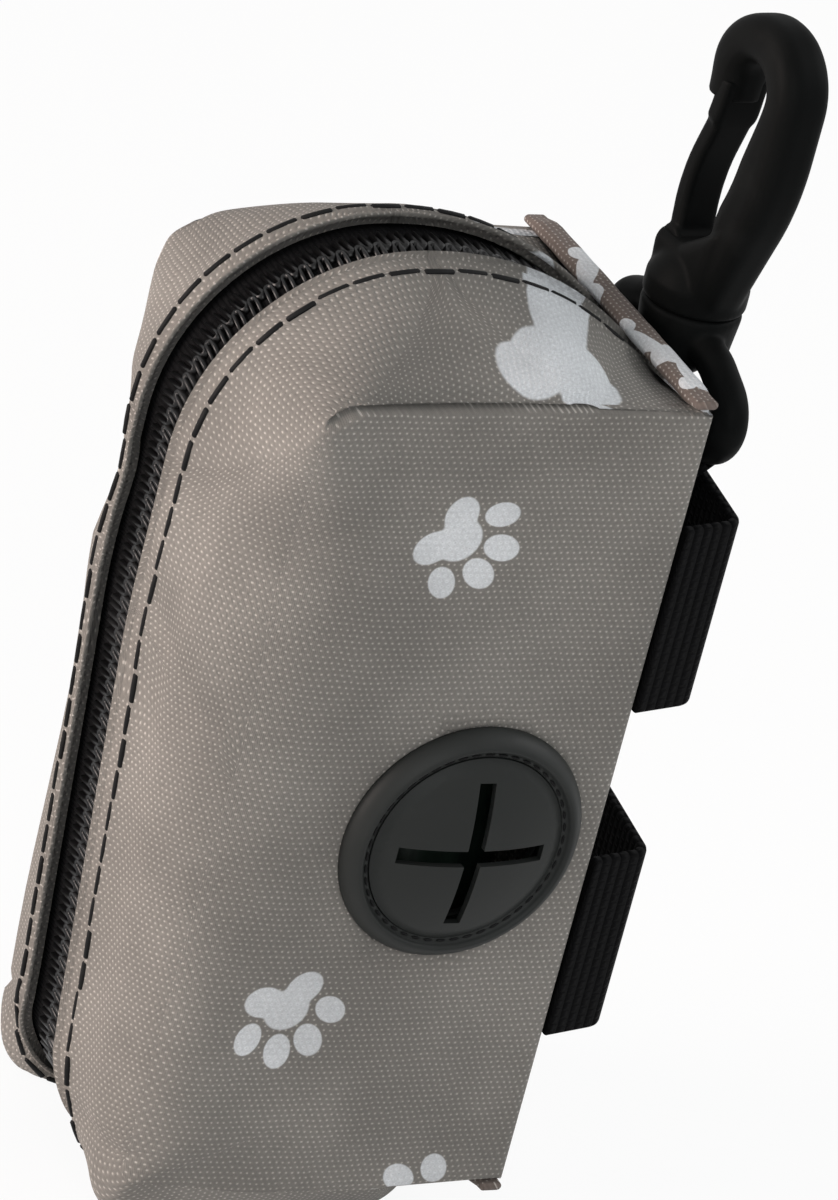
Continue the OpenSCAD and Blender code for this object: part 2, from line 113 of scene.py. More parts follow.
def rounded(corners: Sequence[Sequence[float]], steps: int, runs: int) -> list[Vector]:
    """Line through corners given as (a, b, radius), whose ends have no radius.

    Args:
        corners: The corners.
        steps: Steps in each corner.
        runs: Steps in each straight run.

    Returns:
        The points of the line.
    """
    flat = [Vector((c[0], c[1])) for c in corners]
    last = len(flat) - 1
    arcs = [[flat[0]]]
    arcs += [corner(*flat[k - 1 : k + 2], corners[k][2], steps) for k in range(1, last)]
    arcs.append([flat[last]])
    line: list[Vector] = []
    for k, arc in enumerate(arcs):
        line += arc
        if k < last:
            p, q = arc[-1], arcs[k + 1][0]
            line += [p + (q - p) * (j / runs) for j in range(1, runs)]
    return line


def left_of(line: Sequence[Vector]) -> list[Vector]:
    """Unit direction to the left of a line at each of its points.

    Args:
        line: Its points.

    Returns:
        One direction for each point.
    """
    last = len(line) - 1
    made = []
    for k in range(last + 1):
        d = (line[min(k + 1, last)] - line[max(k - 1, 0)]).normalized()
        made.append(Vector((-d.y, d.x)))
    return made


def lengths(line: Sequence[Vector]) -> list[float]:
    """Length of a line up to each of its points.

    Args:
        line: Its points.

    Returns:
        One length for each point, 0 first.
    """
    made = [0.0]
    for p, q in zip(line, line[1:]):
        made.append(made[-1] + (q - p).length)
    return made


def clamp(value: float, low: float = 0.0, high: float = 1.0) -> float:
    """Value held between two limits."""
    return min(high, max(low, value))


def ease(value: float) -> float:
    """Smooth step from 0 to 1 as value goes from 0 to 1."""
    v = clamp(value)
    return v * v * (3 - 2 * v)


def hump(value: float, centre: float, width: float) -> float:
    """Smooth hump of height 1 round a centre."""
    return math.exp(-(((value - centre) / width) ** 2))


# ---- Meshes


def piece_from(
    bm: bmesh.types.BMesh, name: str, materials: Sequence[bpy.types.Material], smooth: bool = True
) -> bpy.types.Object:
    """Makes an object of a bmesh that is in millimetres.

    Args:
        bm: The shape, which is freed.
        name: Name of the piece.
        materials: Its materials, in slot order.
        smooth: Whether its faces are shaded smooth.

    Returns:
        The object, at the origin, in metres.
    """
    bmesh.ops.scale(bm, vec=(MM, MM, MM), verts=bm.verts)
    mesh = bpy.data.meshes.new(name)
    bm.to_mesh(mesh)
    bm.free()
    mesh.polygons.foreach_set("use_smooth", [smooth] * len(mesh.polygons))
    for material in materials:
        mesh.materials.append(material)
    made = bpy.data.objects.new(name, mesh)
    bpy.context.scene.collection.objects.link(made)
    return made


def settle(made: bpy.types.Object) -> bpy.types.Object:
    """Applies a piece's modifiers to its mesh.

    Args:
        made: The piece.

    Returns:
        The same piece.
    """
    bpy.context.view_layer.update()
    graph = bpy.context.evaluated_depsgraph_get()
    mesh = bpy.data.meshes.new_from_object(made.evaluated_get(graph))
    old = made.data
    made.modifiers.clear()
    made.data = mesh
    bpy.data.meshes.remove(old)
    mesh.name = made.name
    mesh.polygons.foreach_set("use_smooth", [True] * len(mesh.polygons))
    return made


def moulded(made: bpy.types.Object, voxel: float, rounds: int) -> bpy.types.Object:
    """Melts a piece's overlapping forms into one skin with soft inner corners, as a moulding has.

    Args:
        made: The piece.
        voxel: Size of the remeshing step, in millimetres.
        rounds: Rounds of smoothing after it.

    Returns:
        The same piece.
    """
    skin = made.modifiers.new("skin", "REMESH")
    skin.mode = "VOXEL"
    skin.voxel_size = voxel * MM
    soft = made.modifiers.new("soft", "SMOOTH")
    soft.factor = 0.5
    soft.iterations = rounds
    return settle(made)


def loft(
    rings: Sequence[Ring],
    closed: bool = True,
    caps: bool = True,
    chart: Callable[[int, int], Point] | None = None,
) -> bmesh.types.BMesh:
    """Lays a grid over rings of points.

    Args:
        rings: Rings with the same number of points each.
        closed: Whether each ring closes on itself.
        caps: Whether the open ends are filled.
        chart: Gives the cloth coordinates of point i of ring j; lengths along the rings if None.

    Returns:
        The shape, in millimetres, with its cloth coordinates.
    """
    rows, count = len(rings) - 1, len(rings[0])
    cols = count if closed else count - 1
    bm = bmesh.new()
    bmesh.ops.create_grid(bm, x_segments=cols, y_segments=rows, size=1)
    at = {v: (round((v.co.y + 1) / 2 * rows), round((v.co.x + 1) / 2 * cols)) for v in bm.verts}
    if chart is None:
        across = lengths([*rings[0], rings[0][0]])
        along = lengths([ring[0] for ring in rings])

        def chart(j: int, i: int) -> Point:
            """Lengths round the first ring and along the rings."""
            return (across[i], along[j])

    layer = bm.loops.layers.uv.new("cloth")
    for face in bm.faces:
        for loop in face.loops:
            loop[layer].uv = chart(*at[loop.vert])
    for v, (j, i) in at.items():
        v.co = rings[j][i % count]
    if closed:
        border = [v for v, (_, i) in at.items() if i in (0, cols)]
        bmesh.ops.remove_doubles(bm, verts=border, dist=WELD)
    if caps:
        bmesh.ops.holes_fill(bm, edges=[e for e in bm.edges if e.is_boundary], sides=0)
    bmesh.ops.recalc_face_normals(bm, faces=bm.faces)
    return bm


def carried(made: bpy.types.Object, body: str, slot: str, *nodes: str) -> bpy.types.Object:
    """Lays a piece on its body and hides the nodes that it stands for.

    Args:
        made: The piece.
        body: The body that carries it.
        slot: Slot of its finish; not used.
        nodes: The nodes that it replaces.

    Returns:
        The same piece.
    """
    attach(made, body)
    if nodes:
        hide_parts(*nodes)
    return made


def mirror_to(bm: bmesh.types.BMesh, side: Side) -> None:
    """Turns a shape made for the right half into the left one's, where that is asked.

    Args:
        bm: The shape, which is changed.
        side: The half that it is for.
    """
    if side is Side.LEFT:
        bmesh.ops.scale(bm, vec=(-1, 1, 1), verts=bm.verts)
        bmesh.ops.reverse_faces(bm, faces=bm.faces)


def cloth_loops(bm: bmesh.types.BMesh) -> list[tuple[bmesh.types.BMLoop, bmesh.types.BMLayerItem]]:
    """Every face corner of a shape, with the layer of its cloth coordinates."""
    layer = bm.loops.layers.uv["cloth"]
    return [(loop, layer) for face in bm.faces for loop in face.loops]


def section(width: float, height: float, radius: float, steps: int = 4) -> list[Point]:
    """Outline of a rectangle with round corners, round the origin.

    Args:
        width: Its width.
        height: Its height.
        radius: Radius of its corners.
        steps: Steps in each corner.

    Returns:
        Its points, in order.
    """
    made = []
    for turn, (sx, sy) in enumerate(((1, 1), (-1, 1), (-1, -1), (1, -1))):
        for k in range(steps + 1):
            angle = math.pi / 2 * (turn + k / steps)
            x = sx * (width / 2 - radius) + radius * math.cos(angle)
            made.append((x, sy * (height / 2 - radius) + radius * math.sin(angle)))
    return made


def lathe(profile: Sequence[Point], steps: int, place: Matrix) -> bmesh.types.BMesh:
    """Turns a profile of (radius, height) points once round the third axis and puts it in its place.

    Args:
        profile: The profile, closed on itself where its last point meets its first.
        steps: Steps of the turn.
        place: Where the axis goes.

    Returns:
        The shape, in millimetres.
    """
    bm = bmesh.new()
    verts = [bm.verts.new((r, 0, z)) for r, z in profile]
    line = verts + [bm.edges.new((p, q)) for p, q in zip(verts, verts[1:])]
    full = 2 * math.pi
    bmesh.ops.spin(bm, geom=line, cent=(0, 0, 0), axis=(0, 0, 1), angle=full, steps=steps, use_merge=True)
    bmesh.ops.remove_doubles(bm, verts=bm.verts, dist=WELD)
    bmesh.ops.recalc_face_normals(bm, faces=bm.faces)
    bmesh.ops.transform(bm, matrix=place, verts=bm.verts)
    return bm


def prism(outline: Sequence[Point], depth: float, bevel: float, segments: int = 3) -> bmesh.types.BMesh:
    """Plate of an outline in x and z, with a depth in y on both sides of 0 and its long edges rounded.

    Args:
        outline: Its points, in order.
        depth: Its whole depth.
        bevel: Radius of its edges.
        segments: Steps of that rounding.

    Returns:
        The shape, in millimetres.
    """
    bm = bmesh.new()
    face = bm.faces.new([bm.verts.new((x, -depth / 2, z)) for x, z in outline])
    made = bmesh.ops.extrude_face_region(bm, geom=[face])
    moved = [g for g in made["geom"] if isinstance(g, bmesh.types.BMVert)]
    bmesh.ops.translate(bm, vec=(0, depth, 0), verts=moved)
    bmesh.ops.recalc_face_normals(bm, faces=bm.faces)
    rim = [e for e in bm.edges if abs(e.verts[0].co.y - e.verts[1].co.y) < 1e-6]
    bmesh.ops.bevel(
        bm, geom=rim, offset=bevel, segments=segments, profile=0.5, affect="EDGES", clamp_overlap=True
    )
    return bm


def block(size: Sequence[float], bevel: float, segments: int, place: Matrix) -> bmesh.types.BMesh:
    """Box with rounded edges.

    Args:
        size: Its whole sizes.
        bevel: Radius of its edges, or 0 where they stay sharp.
        segments: Steps of that rounding.
        place: Where its middle goes.

    Returns:
        The shape, in millimetres.
    """
    bm = bmesh.new()
    bmesh.ops.create_cube(bm, size=1.0)
    bmesh.ops.scale(bm, vec=size, verts=bm.verts)
    if bevel > 0:
        bmesh.ops.bevel(bm, geom=bm.edges[:], offset=bevel, segments=segments, profile=0.5, affect="EDGES")
    bmesh.ops.transform(bm, matrix=place, verts=bm.verts)
    return bm


def add_bead(bm: bmesh.types.BMesh, place: Matrix) -> None:
    """Adds one visible turn of thread, a slim bead of radius 1 that its place sizes."""
    bead = bmesh.ops.create_uvsphere(bm, u_segments=6, v_segments=5, radius=1.0)["verts"]
    bmesh.ops.transform(bm, matrix=place, verts=bead)


def hollow(inner: float, outer: float, low: float, high: float, bevel: float) -> list[Point]:
    """Profile of a washer or tube, for lathe, with all four edges taken off.

    Args:
        inner: Radius of the hole.
        outer: Outer radius.
        low: Height of its lower face.
        high: Height of its upper face.
        bevel: How much is taken off each edge.

    Returns:
        The profile.
    """
    return [
        (inner, low + bevel), (inner + bevel, low), (outer - bevel, low), (outer, low + bevel),
        (outer, high - bevel), (outer - bevel, high), (inner + bevel, high), (inner, high - bevel),
        (inner, low + bevel),
    ]


def joined(parts: Sequence[bmesh.types.BMesh]) -> bmesh.types.BMesh:
    """One bmesh of several, which are freed.

    Args:
        parts: The shapes.

    Returns:
        The shape.
    """
    whole = bmesh.new()
    for part in parts:
        held = bpy.data.meshes.new("held")
        part.to_mesh(held)
        part.free()
        whole.from_mesh(held)
        bpy.data.meshes.remove(held)
    return whole


def tube(path: Sequence[Vector], radius: float | Sequence[float], steps: int = 16) -> bmesh.types.BMesh:
    """Round bar along a path.

    Args:
        path: The points of its middle.
        radius: Its radius, or one for each point.
        steps: Sides of the bar.

    Returns:
        The shape, in millimetres.
    """
    radii = [radius] * len(path) if isinstance(radius, (int, float)) else list(radius)
    rings, side = [], None
    for k, p in enumerate(path):
        d = (path[min(k + 1, len(path) - 1)] - path[max(k - 1, 0)]).normalized()
        side = d.orthogonal().normalized() if side is None else (side - d * side.dot(d)).normalized()
        up = d.cross(side)
        angles = [2 * math.pi * i / steps for i in range(steps)]
        rings.append([p + (side * math.cos(a) + up * math.sin(a)) * radii[k] for a in angles])
    return loft(rings)


# ---- Shader nodes


class Kit:
    """Short calls that add nodes to one tree."""

    def __init__(self, tree: bpy.types.NodeTree) -> None:
        """Takes the tree."""
        self.tree = tree

    def add(self, kind: str, **settings: object) -> bpy.types.Node:
        """Adds a node.

        Args:
            kind: Its type, without the word ShaderNode in front.
            settings: Its own settings.

        Returns:
            The node.
        """
        made = self.tree.nodes.new("ShaderNode" + kind)
        for name, value in settings.items():
            setattr(made, name, value)
        return made

    def feed(self, socket: bpy.types.NodeSocket, value: object) -> None:
        """Links a socket, or sets a plain value.

        Args:
            socket: The input that is fed.
            value: A socket, a plain value, or None to leave it.
        """
        if isinstance(value, bpy.types.NodeSocket):
            self.tree.links.new(value, socket)
        elif value is not None:
            socket.default_value = value

    def math(self, operation: str, *values: object, clamped: bool = False) -> bpy.types.NodeSocket:
        """Adds a Math node and gives its output.

        Args:
            operation: Name of the operation.
            values: Sockets or plain values, in the order of its inputs.
            clamped: Whether the result is held between 0 and 1.

        Returns:
            The output's socket.
        """
        made = self.add("Math", operation=operation, use_clamp=clamped)
        for socket, value in zip(made.inputs, values):
            self.feed(socket, value)
        return made.outputs[0]

    def vector(self, operation: str, *values: object, out: str = "Vector") -> bpy.types.NodeSocket:
        """Adds a Vector Math node and gives one of its outputs.

        Args:
            operation: Name of the operation.
            values: Sockets or plain values, in the order of its inputs.
            out: Name of the output wanted.

        Returns:
            The output's socket.
        """
        made = self.add("VectorMath", operation=operation)
        for socket, value in zip(made.inputs, values):
            self.feed(socket, value)
        return made.outputs[out]

    def mix(self, share: object, a: object, b: object) -> bpy.types.NodeSocket:
        """Mixes two colours by a share.

        Args:
            share: Share of the second colour.
            a: First colour.
            b: Second colour.

        Returns:
            The mixed colour's socket.
        """
        made = self.add("Mix", data_type="RGBA")
        self.feed(made.inputs[0], share)
        self.feed(made.inputs[6], a)
        self.feed(made.inputs[7], b)
        return made.outputs[2]

    def ramp(
        self, value: object, low: float, high: float, to_low: float = 0.0, to_high: float = 1.0
    ) -> bpy.types.NodeSocket:
        """Maps a value smoothly from one range to another.

        Args:
            value: The value.
            low: Start of its range.
            high: End of its range.
            to_low: What the start becomes.
            to_high: What the end becomes.

        Returns:
            The output's socket.
        """
        made = self.add("MapRange", interpolation_type="SMOOTHSTEP")
        for socket, one in zip(made.inputs, (value, low, high, to_low, to_high)):
            self.feed(socket, one)
        return made.outputs[0]

    def noise(self, where: object, scale: float, detail: float = 2.0) -> bpy.types.NodeSocket:
        """Noise value at a place.

        Args:
            where: The coordinates.
            scale: Scale of the noise.
            detail: Its levels of detail.

        Returns:
            The output's socket.
        """
        made = self.add("TexNoise")
        self.feed(made.inputs["Vector"], where)
        made.inputs["Scale"].default_value = scale
        made.inputs["Detail"].default_value = detail
        return made.outputs[0]

    def cloud(self, where: object, scale: float) -> bpy.types.NodeSocket:
        """Noise colour at a place.

        Args:
            where: The coordinates.
            scale: Scale of the noise.

        Returns:
            The output's socket.
        """
        made = self.add("TexNoise")
        self.feed(made.inputs["Vector"], where)
        made.inputs["Scale"].default_value = scale
        return made.outputs[1]

    def scaled(self, value: object, share: object) -> bpy.types.NodeSocket:
        """Vector or colour times a share.

        Args:
            value: The vector or colour.
            share: The share.

        Returns:
            The output's socket.
        """
        made = self.add("VectorMath", operation="SCALE")
        self.feed(made.inputs[0], value)
        self.feed(made.inputs["Scale"], share)
        return made.outputs[0]

    def placed(
        self, where: object, centre: Sequence[float], angle: float, size: Sequence[float]
    ) -> bpy.types.NodeSocket:
        """Coordinates in the frame of something at a centre, turned and sized.

        Args:
            where: The coordinates.
            centre: Its centre.
            angle: Its turn, in degrees.
            size: Its size along both axes.

        Returns:
            The coordinates' socket.
        """
        made = self.add("Mapping", vector_type="TEXTURE")
        self.feed(made.inputs["Vector"], where)
        made.inputs["Location"].default_value = (*centre, 0)
        made.inputs["Rotation"].default_value = (0, 0, math.radians(angle))
        made.inputs["Scale"].default_value = (*size, 1)
        return made.outputs[0]

    def group(self, tree: bpy.types.NodeTree, **values: object) -> bpy.types.Node:
        """Places a group with its inputs, whose spaces are written as underscores.

        Args:
            tree: The group.
            values: What feeds each input.

        Returns:
            The node.
        """
        made = self.add("Group", node_tree=tree)
        for name, value in values.items():
            self.feed(made.inputs[name.replace("_", " ")], value)
        return made

    def seen(self) -> bpy.types.NodeSocket:
        """1 for the camera's rays and for those of reflections and transmissions, 0 for light.

        Returns:
            The share's socket.
        """
        path = self.add("LightPath")
        rays = self.math("MAXIMUM", path.outputs["Is Camera Ray"], path.outputs["Is Glossy Ray"])
        return self.math("MAXIMUM", rays, path.outputs["Is Transmission Ray"])

    def end(self, output: str, share: object, plain: bpy.types.Node, other: bpy.types.Node) -> None:
        """Mixes two shaders by a share and feeds the tree's output.

        Args:
            output: Kind of the output node.
            share: Share of the other shader.
            plain: The first shader.
            other: The other shader.
        """
        mix = self.add("MixShader")
        for socket, value in zip(mix.inputs, (share, plain.outputs[0], other.outputs[0])):
            self.feed(socket, value)
        self.feed(self.add(output).inputs[0], mix.outputs[0])


def new_group(
    name: str, inputs: dict[str, object], outputs: dict[str, str]
) -> tuple[bpy.types.NodeTree, Kit, bpy.types.Node, bpy.types.Node]:
    """Starts a shader node group.

    Args:
        name: Its name.
        inputs: Default of each input; None stands for a vector.
        outputs: Kind of each output, as a socket type without NodeSocket in front.

    Returns:
        The group, a kit for it, its input node and its output node.
    """
    tree = bpy.data.node_groups.new(name, "ShaderNodeTree")
    for key, value in inputs.items():
        kind = "Vector" if value is None else "Color" if isinstance(value, tuple) else "Float"
        socket = tree.interface.new_socket(key, in_out="INPUT", socket_type="NodeSocket" + kind)
        if value is not None:
            socket.default_value = value
    for key, kind in outputs.items():
        tree.interface.new_socket(key, in_out="OUTPUT", socket_type="NodeSocket" + kind)
    return tree, Kit(tree), tree.nodes.new("NodeGroupInput"), tree.nodes.new("NodeGroupOutput")


def weave_group() -> bpy.types.NodeTree:
    """Oxford weave: staggered raised threads with a pale fleck on every other crossing.

    Returns:
        The group.
    """
    outputs = {"Fleck": "Float", "Height": "Float"}
    tree, kit, given, out = new_group("oxford_weave", {"Cloth": None, "Pitch": 1.05}, outputs)
    cloth, pitch = given.outputs["Cloth"], given.outputs["Pitch"]
    wander = kit.vector("SUBTRACT", kit.cloud(cloth, 0.35), (0.5, 0.5, 0.5))
    axes = kit.add("SeparateXYZ")
    kit.feed(axes.inputs[0], kit.vector("MULTIPLY_ADD", wander, (0.5, 0.5, 0.5), cloth))
    v = kit.math("DIVIDE", axes.outputs[1], pitch)
    shift = kit.math("MULTIPLY", kit.math("FLOORED_MODULO", kit.math("FLOOR", v), 2.0), 0.5)
    u = kit.math("ADD", kit.math("DIVIDE", axes.outputs[0], kit.math("MULTIPLY", pitch, 1.12)), shift)
    across = kit.math("SUBTRACT", kit.math("FRACT", u), 0.5)
    along = kit.math("SUBTRACT", kit.math("FRACT", v), 0.5)
    dash = kit.math("POWER", kit.math("MULTIPLY", across, 0.95), 2.0)
    far = kit.math("SQRT", kit.math("ADD", dash, kit.math("POWER", along, 2.0)))
    kit.feed(out.inputs["Fleck"], kit.ramp(far, 0.21, 0.09))
    bead = kit.ramp(far, 0.46, 0.05)
    yarn = kit.math("ABSOLUTE", kit.math("SINE", kit.math("MULTIPLY", u, 4 * math.pi)))
    kit.feed(out.inputs["Height"], kit.math("MULTIPLY_ADD", kit.ramp(yarn, 0.0, 0.7), 0.45, bead))
    return tree


def grain_group() -> bpy.types.NodeTree:
    """Moulding grain with sparse pale rub marks.

    Returns:
        The group.
    """
    outputs = {"Height": "Float", "Rub": "Float"}
    tree, kit, given, out = new_group("fine_grain", {"Place": None, "Scale": 900.0}, outputs)
    fine = kit.add("TexNoise")
    kit.feed(fine.inputs["Vector"], given.outputs["Place"])
    kit.feed(fine.inputs["Scale"], given.outputs["Scale"])
    fine.inputs["Detail"].default_value = 4.0
    broad = kit.noise(given.outputs["Place"], 130.0, 5.0)
    kit.feed(out.inputs["Height"], fine.outputs[0])
    kit.feed(out.inputs["Rub"], kit.ramp(broad, 0.52, 0.74))
    return tree


def paw_group() -> bpy.types.NodeTree:
    """Plain paw print, one unit wide and pointing along +y, as a mask.

    Returns:
        The group.
    """
    tree, kit, given, out = new_group("print_paw", {"Place": None}, {"Mask": "Float"})
    where = given.outputs["Place"]
    pads = (
        ((0.0, -0.12), 0, (0.20, 0.20)),
        ((-0.18, -0.28), 25, (0.17, 0.15)),
        ((0.18, -0.28), -25, (0.17, 0.15)),
        ((-0.37, 0.04), 28, (0.115, 0.16)),
        ((-0.14, 0.27), 10, (0.12, 0.175)),
        ((0.14, 0.27), -10, (0.12, 0.175)),
        ((0.37, 0.04), -28, (0.115, 0.16)),
    )
    spots = [kit.vector("LENGTH", kit.placed(where, *pad), out="Value") for pad in pads]
    least = spots[0]
    for lobe in spots[1:3]:
        least = kit.math("SMOOTH_MIN", least, lobe, 0.4)
    for toe in spots[3:]:
        least = kit.math("MINIMUM", least, toe)
    kit.feed(out.inputs["Mask"], kit.ramp(least, 1.06, 0.94))
    return tree


def bone_group() -> bpy.types.NodeTree:
    """Plain bone, one unit long along x, as a mask.

    Returns:
        The group.
    """
    tree, kit, given, out = new_group("print_bone", {"Place": None}, {"Mask": "Float"})
    where = given.outputs["Place"]
    least = kit.vector("LENGTH", kit.placed(where, (0, 0), 0, (0.42, 0.13)), out="Value")
    bar = kit.placed(where, (0, 0), 0, (0.36, 0.105))
    axes = kit.add("SeparateXYZ")
    kit.feed(axes.inputs[0], kit.vector("ABSOLUTE", bar))
    least = kit.math("MINIMUM", least, kit.math("MAXIMUM", axes.outputs[0], axes.outputs[1]))
    for x in (-0.38, 0.38):
        for y in (-0.12, 0.12):
            knob = kit.vector("LENGTH", kit.placed(where, (x, y), 0, (0.15, 0.14)), out="Value")
            least = kit.math("SMOOTH_MIN", least, knob, 0.2)
    kit.feed(out.inputs["Mask"], kit.ramp(least, 1.05, 0.95))
    return tree


@dataclass(frozen=True)
class Groups:
    """The shared node groups."""

    weave: bpy.types.NodeTree
    grain: bpy.types.NodeTree
    paw: bpy.types.NodeTree
    bone: bpy.types.NodeTree


def rgb(red: float, green: float, blue: float) -> tuple[float, float, float, float]:
    """Linear colour of an sRGB one given in 0 to 255."""
    parts = [c / 255 for c in (red, green, blue)]
    return (*[c / 12.92 if c <= 0.04045 else ((c + 0.055) / 1.055) ** 2.4 for c in parts], 1.0)


def new_material(
    name: str, roughness: float = 0.5, **sockets: object
) -> tuple[bpy.types.Material, Kit, bpy.types.Node]:
    """Starts a material.

    Args:
        name: Its name.
        roughness: Its plain roughness.
        sockets: Plain values of other sockets, with underscores for spaces.

    Returns:
        The material, a kit for its tree and its shader.
    """
    material = bpy.data.materials.new(name)
    material.use_nodes = True
    shader = next(n for n in material.node_tree.nodes if n.type == "BSDF_PRINCIPLED")
    shader.inputs["Roughness"].default_value = roughness
    for key, value in sockets.items():
        shader.inputs[key.replace("_", " ")].default_value = value
    return material, Kit(material.node_tree), shader


def raise_surface(
    kit: Kit, shader: bpy.types.Node, height: object, depth: float, strength: float = 1.0
) -> None:
    """Lets a height, 0 to 1, bump the surface by a depth in millimetres.

    Args:
        kit: Kit of the material.
        shader: Its shader.
        height: The height.
        depth: Depth that a height of 1 stands for.
        strength: Share of the bump that shows.
    """
    bump = kit.add("Bump")
    bump.inputs["Strength"].default_value = strength
    bump.inputs["Distance"].default_value = depth * MM
    kit.feed(bump.inputs["Height"], height)
    kit.feed(shader.inputs["Normal"], bump.outputs[0])


@dataclass(frozen=True)
class Print:
    """One motif on the cloth: its place in cloth coordinates, its turn in degrees and its size."""

    motif: Motif
    centre: Point
    angle: float
    size: float


@dataclass(frozen=True)
class PrintedFabric:
    """Taupe oxford polyester with pale prints, and painted shade in the low gaps of its weave."""

    name: str
    prints: tuple[Print, ...]
    ground: tuple[float, ...] = rgb(127, 124, 119)
    fleck: tuple[float, ...] = rgb(206, 201, 194)
    ink: tuple[float, ...] = rgb(218, 221, 224)
    thin_ink: tuple[float, ...] = rgb(176, 179, 181)
    pitch: float = 0.66

    def build(self, groups: Groups) -> bpy.types.Material:
        """Makes the material.

        Args:
            groups: The shared node groups.

        Returns:
            The material.
        """
        material, kit, shader = new_material(
            self.name, 0.78, Sheen_Weight=0.08, Sheen_Roughness=0.45, Specular_IOR_Level=0.18
        )
        cloth = kit.add("UVMap", uv_map="cloth").outputs[0]
        weave = kit.group(groups.weave, Cloth=cloth, Pitch=self.pitch)
        mottle = kit.ramp(kit.noise(cloth, 0.05, 3.0), 0.35, 0.65, 0.88, 1.1)
        yarn = kit.ramp(kit.noise(cloth, 2.4, 2.0), 0.2, 0.8, 0.9, 1.1)
        mask: object = 0.0
        for one in self.prints:
            tree = groups.paw if one.motif is Motif.PAW else groups.bone
            shape = kit.group(tree, Place=kit.placed(cloth, one.centre, one.angle, (one.size, one.size)))
            mask = shape.outputs[0] if mask == 0.0 else kit.math("MAXIMUM", mask, shape.outputs[0])
        plain = kit.mix(kit.math("MULTIPLY", weave.outputs["Fleck"], 0.5), self.ground, self.fleck)
        inked = kit.mix(kit.math("MULTIPLY", weave.outputs["Fleck"], 0.45), self.ink, self.thin_ink)
        shown = kit.mix(mask, plain, inked)
        # Painted shade: the colour darkens where the weave's height is low, between the raised threads; the
        # mottle and yarn noise add random tone on top.
        painted_weave_shade = kit.ramp(weave.outputs["Height"], 0.0, 1.2, 0.86, 1.08)
        tone_and_painted_shade = kit.math("MULTIPLY", kit.math("MULTIPLY", mottle, yarn), painted_weave_shade)
        kit.feed(shader.inputs["Base Color"], kit.scaled(shown, tone_and_painted_shade))
        raise_surface(kit, shader, weave.outputs["Height"], 0.11, 0.8)
        return material


@dataclass(frozen=True)
class WovenBlack:
    """Black woven band: ribs across it and fine yarns along it, with painted highlight on its raised yarns.
    """

    name: str
    rib: float
    depth: float
    colour: tuple[float, ...] = rgb(27, 27, 28)
    # Colour of the painted highlight on the raised yarns.
    pale: tuple[float, ...] = rgb(58, 58, 60)

    def build(self) -> bpy.types.Material:
        """Makes the material.

        Returns:
            The material.
        """
        material, kit, shader = new_material(self.name, 0.75, Specular_IOR_Level=0.05)
        cloth = kit.add("UVMap", uv_map="cloth").outputs[0]
        axes = kit.add("SeparateXYZ")
        kit.feed(axes.inputs[0], cloth)
        turn = 2 * math.pi / self.rib
        rib = kit.math("ABSOLUTE", kit.math("SINE", kit.math("MULTIPLY", axes.outputs[1], turn / 2)))
        row = kit.math("FLOOR", kit.math("DIVIDE", axes.outputs[1], self.rib))
        offset = kit.math("MULTIPLY", kit.math("FLOORED_MODULO", row, 2.0), math.pi / 2)
        twist = kit.math("ADD", kit.math("MULTIPLY", axes.outputs[0], turn * 0.62), offset)
        yarn = kit.math("ABSOLUTE", kit.math("SINE", twist))
        height = kit.math("MULTIPLY", rib, kit.ramp(yarn, 0.0, 0.8, 0.45, 1.0))
        # Painted highlight: the raised yarns are mixed towards the paler colour and the low gaps stay dark,
        # varied by a noise.
        lift = kit.math("MULTIPLY", height, kit.ramp(kit.noise(cloth, 1.7, 3.0), 0.35, 0.7, 0.2, 0.9))
        kit.feed(shader.inputs["Base Color"], kit.mix(lift, self.colour, self.pale))
        raise_surface(kit, shader, height, self.depth)
        return material


@dataclass(frozen=True)
class Moulded:
    """Moulded plastic, nylon, rubber or lacquered metal, with a grain and faint rub marks."""

    name: str
    colour: tuple[float, ...]
    rub: tuple[float, ...]
    roughness: float
    grain: float
    depth: float
    shine: float

    def build(self, groups: Groups) -> bpy.types.Material:
        """Makes the material.

        Args:
            groups: The shared node groups.

        Returns:
            The material.
        """
        material, kit, shader = new_material(self.name, self.roughness, Specular_IOR_Level=self.shine)
        place = kit.add("TexCoord").outputs["Object"]
        grain = kit.group(groups.grain, Place=place, Scale=self.grain)
        kit.feed(shader.inputs["Base Color"], kit.mix(grain.outputs["Rub"], self.colour, self.rub))
        rough = kit.ramp(grain.outputs["Rub"], 0.0, 1.0, self.roughness, min(1.0, self.roughness + 0.12))
        kit.feed(shader.inputs["Roughness"], rough)
        raise_surface(kit, shader, grain.outputs["Height"], self.depth, 0.6)
        return material


@dataclass(frozen=True)
class RolledFilm:
    """Thin film wound on a roll, with soft wrinkles along it."""

    name: str = "bag_film"
    colour: tuple[float, ...] = rgb(24, 34, 28)
    # Colour of the painted highlight on the wrinkle crests.
    pale: tuple[float, ...] = rgb(38, 52, 44)

    def build(self) -> bpy.types.Material:
        """Makes the material.

        Returns:
            The material.
        """
        material, kit, shader = new_material(self.name, 0.38, Specular_IOR_Level=0.45)
        place = kit.add("TexCoord").outputs["Object"]
        long = kit.add("Mapping")
        kit.feed(long.inputs["Vector"], place)
        long.inputs["Scale"].default_value = (1, 1, 0.18)
        wrinkle = kit.noise(long.outputs[0], 420.0, 3.0)
        # Painted highlight and shade: the wrinkle crests are painted paler and the hollows darker, following
        # the same noise as the bump.
        share = kit.ramp(wrinkle, 0.3, 0.7)
        kit.feed(shader.inputs["Base Color"], kit.mix(share, self.colour, self.pale))
        raise_surface(kit, shader, wrinkle, 0.25, 0.8)
        return material


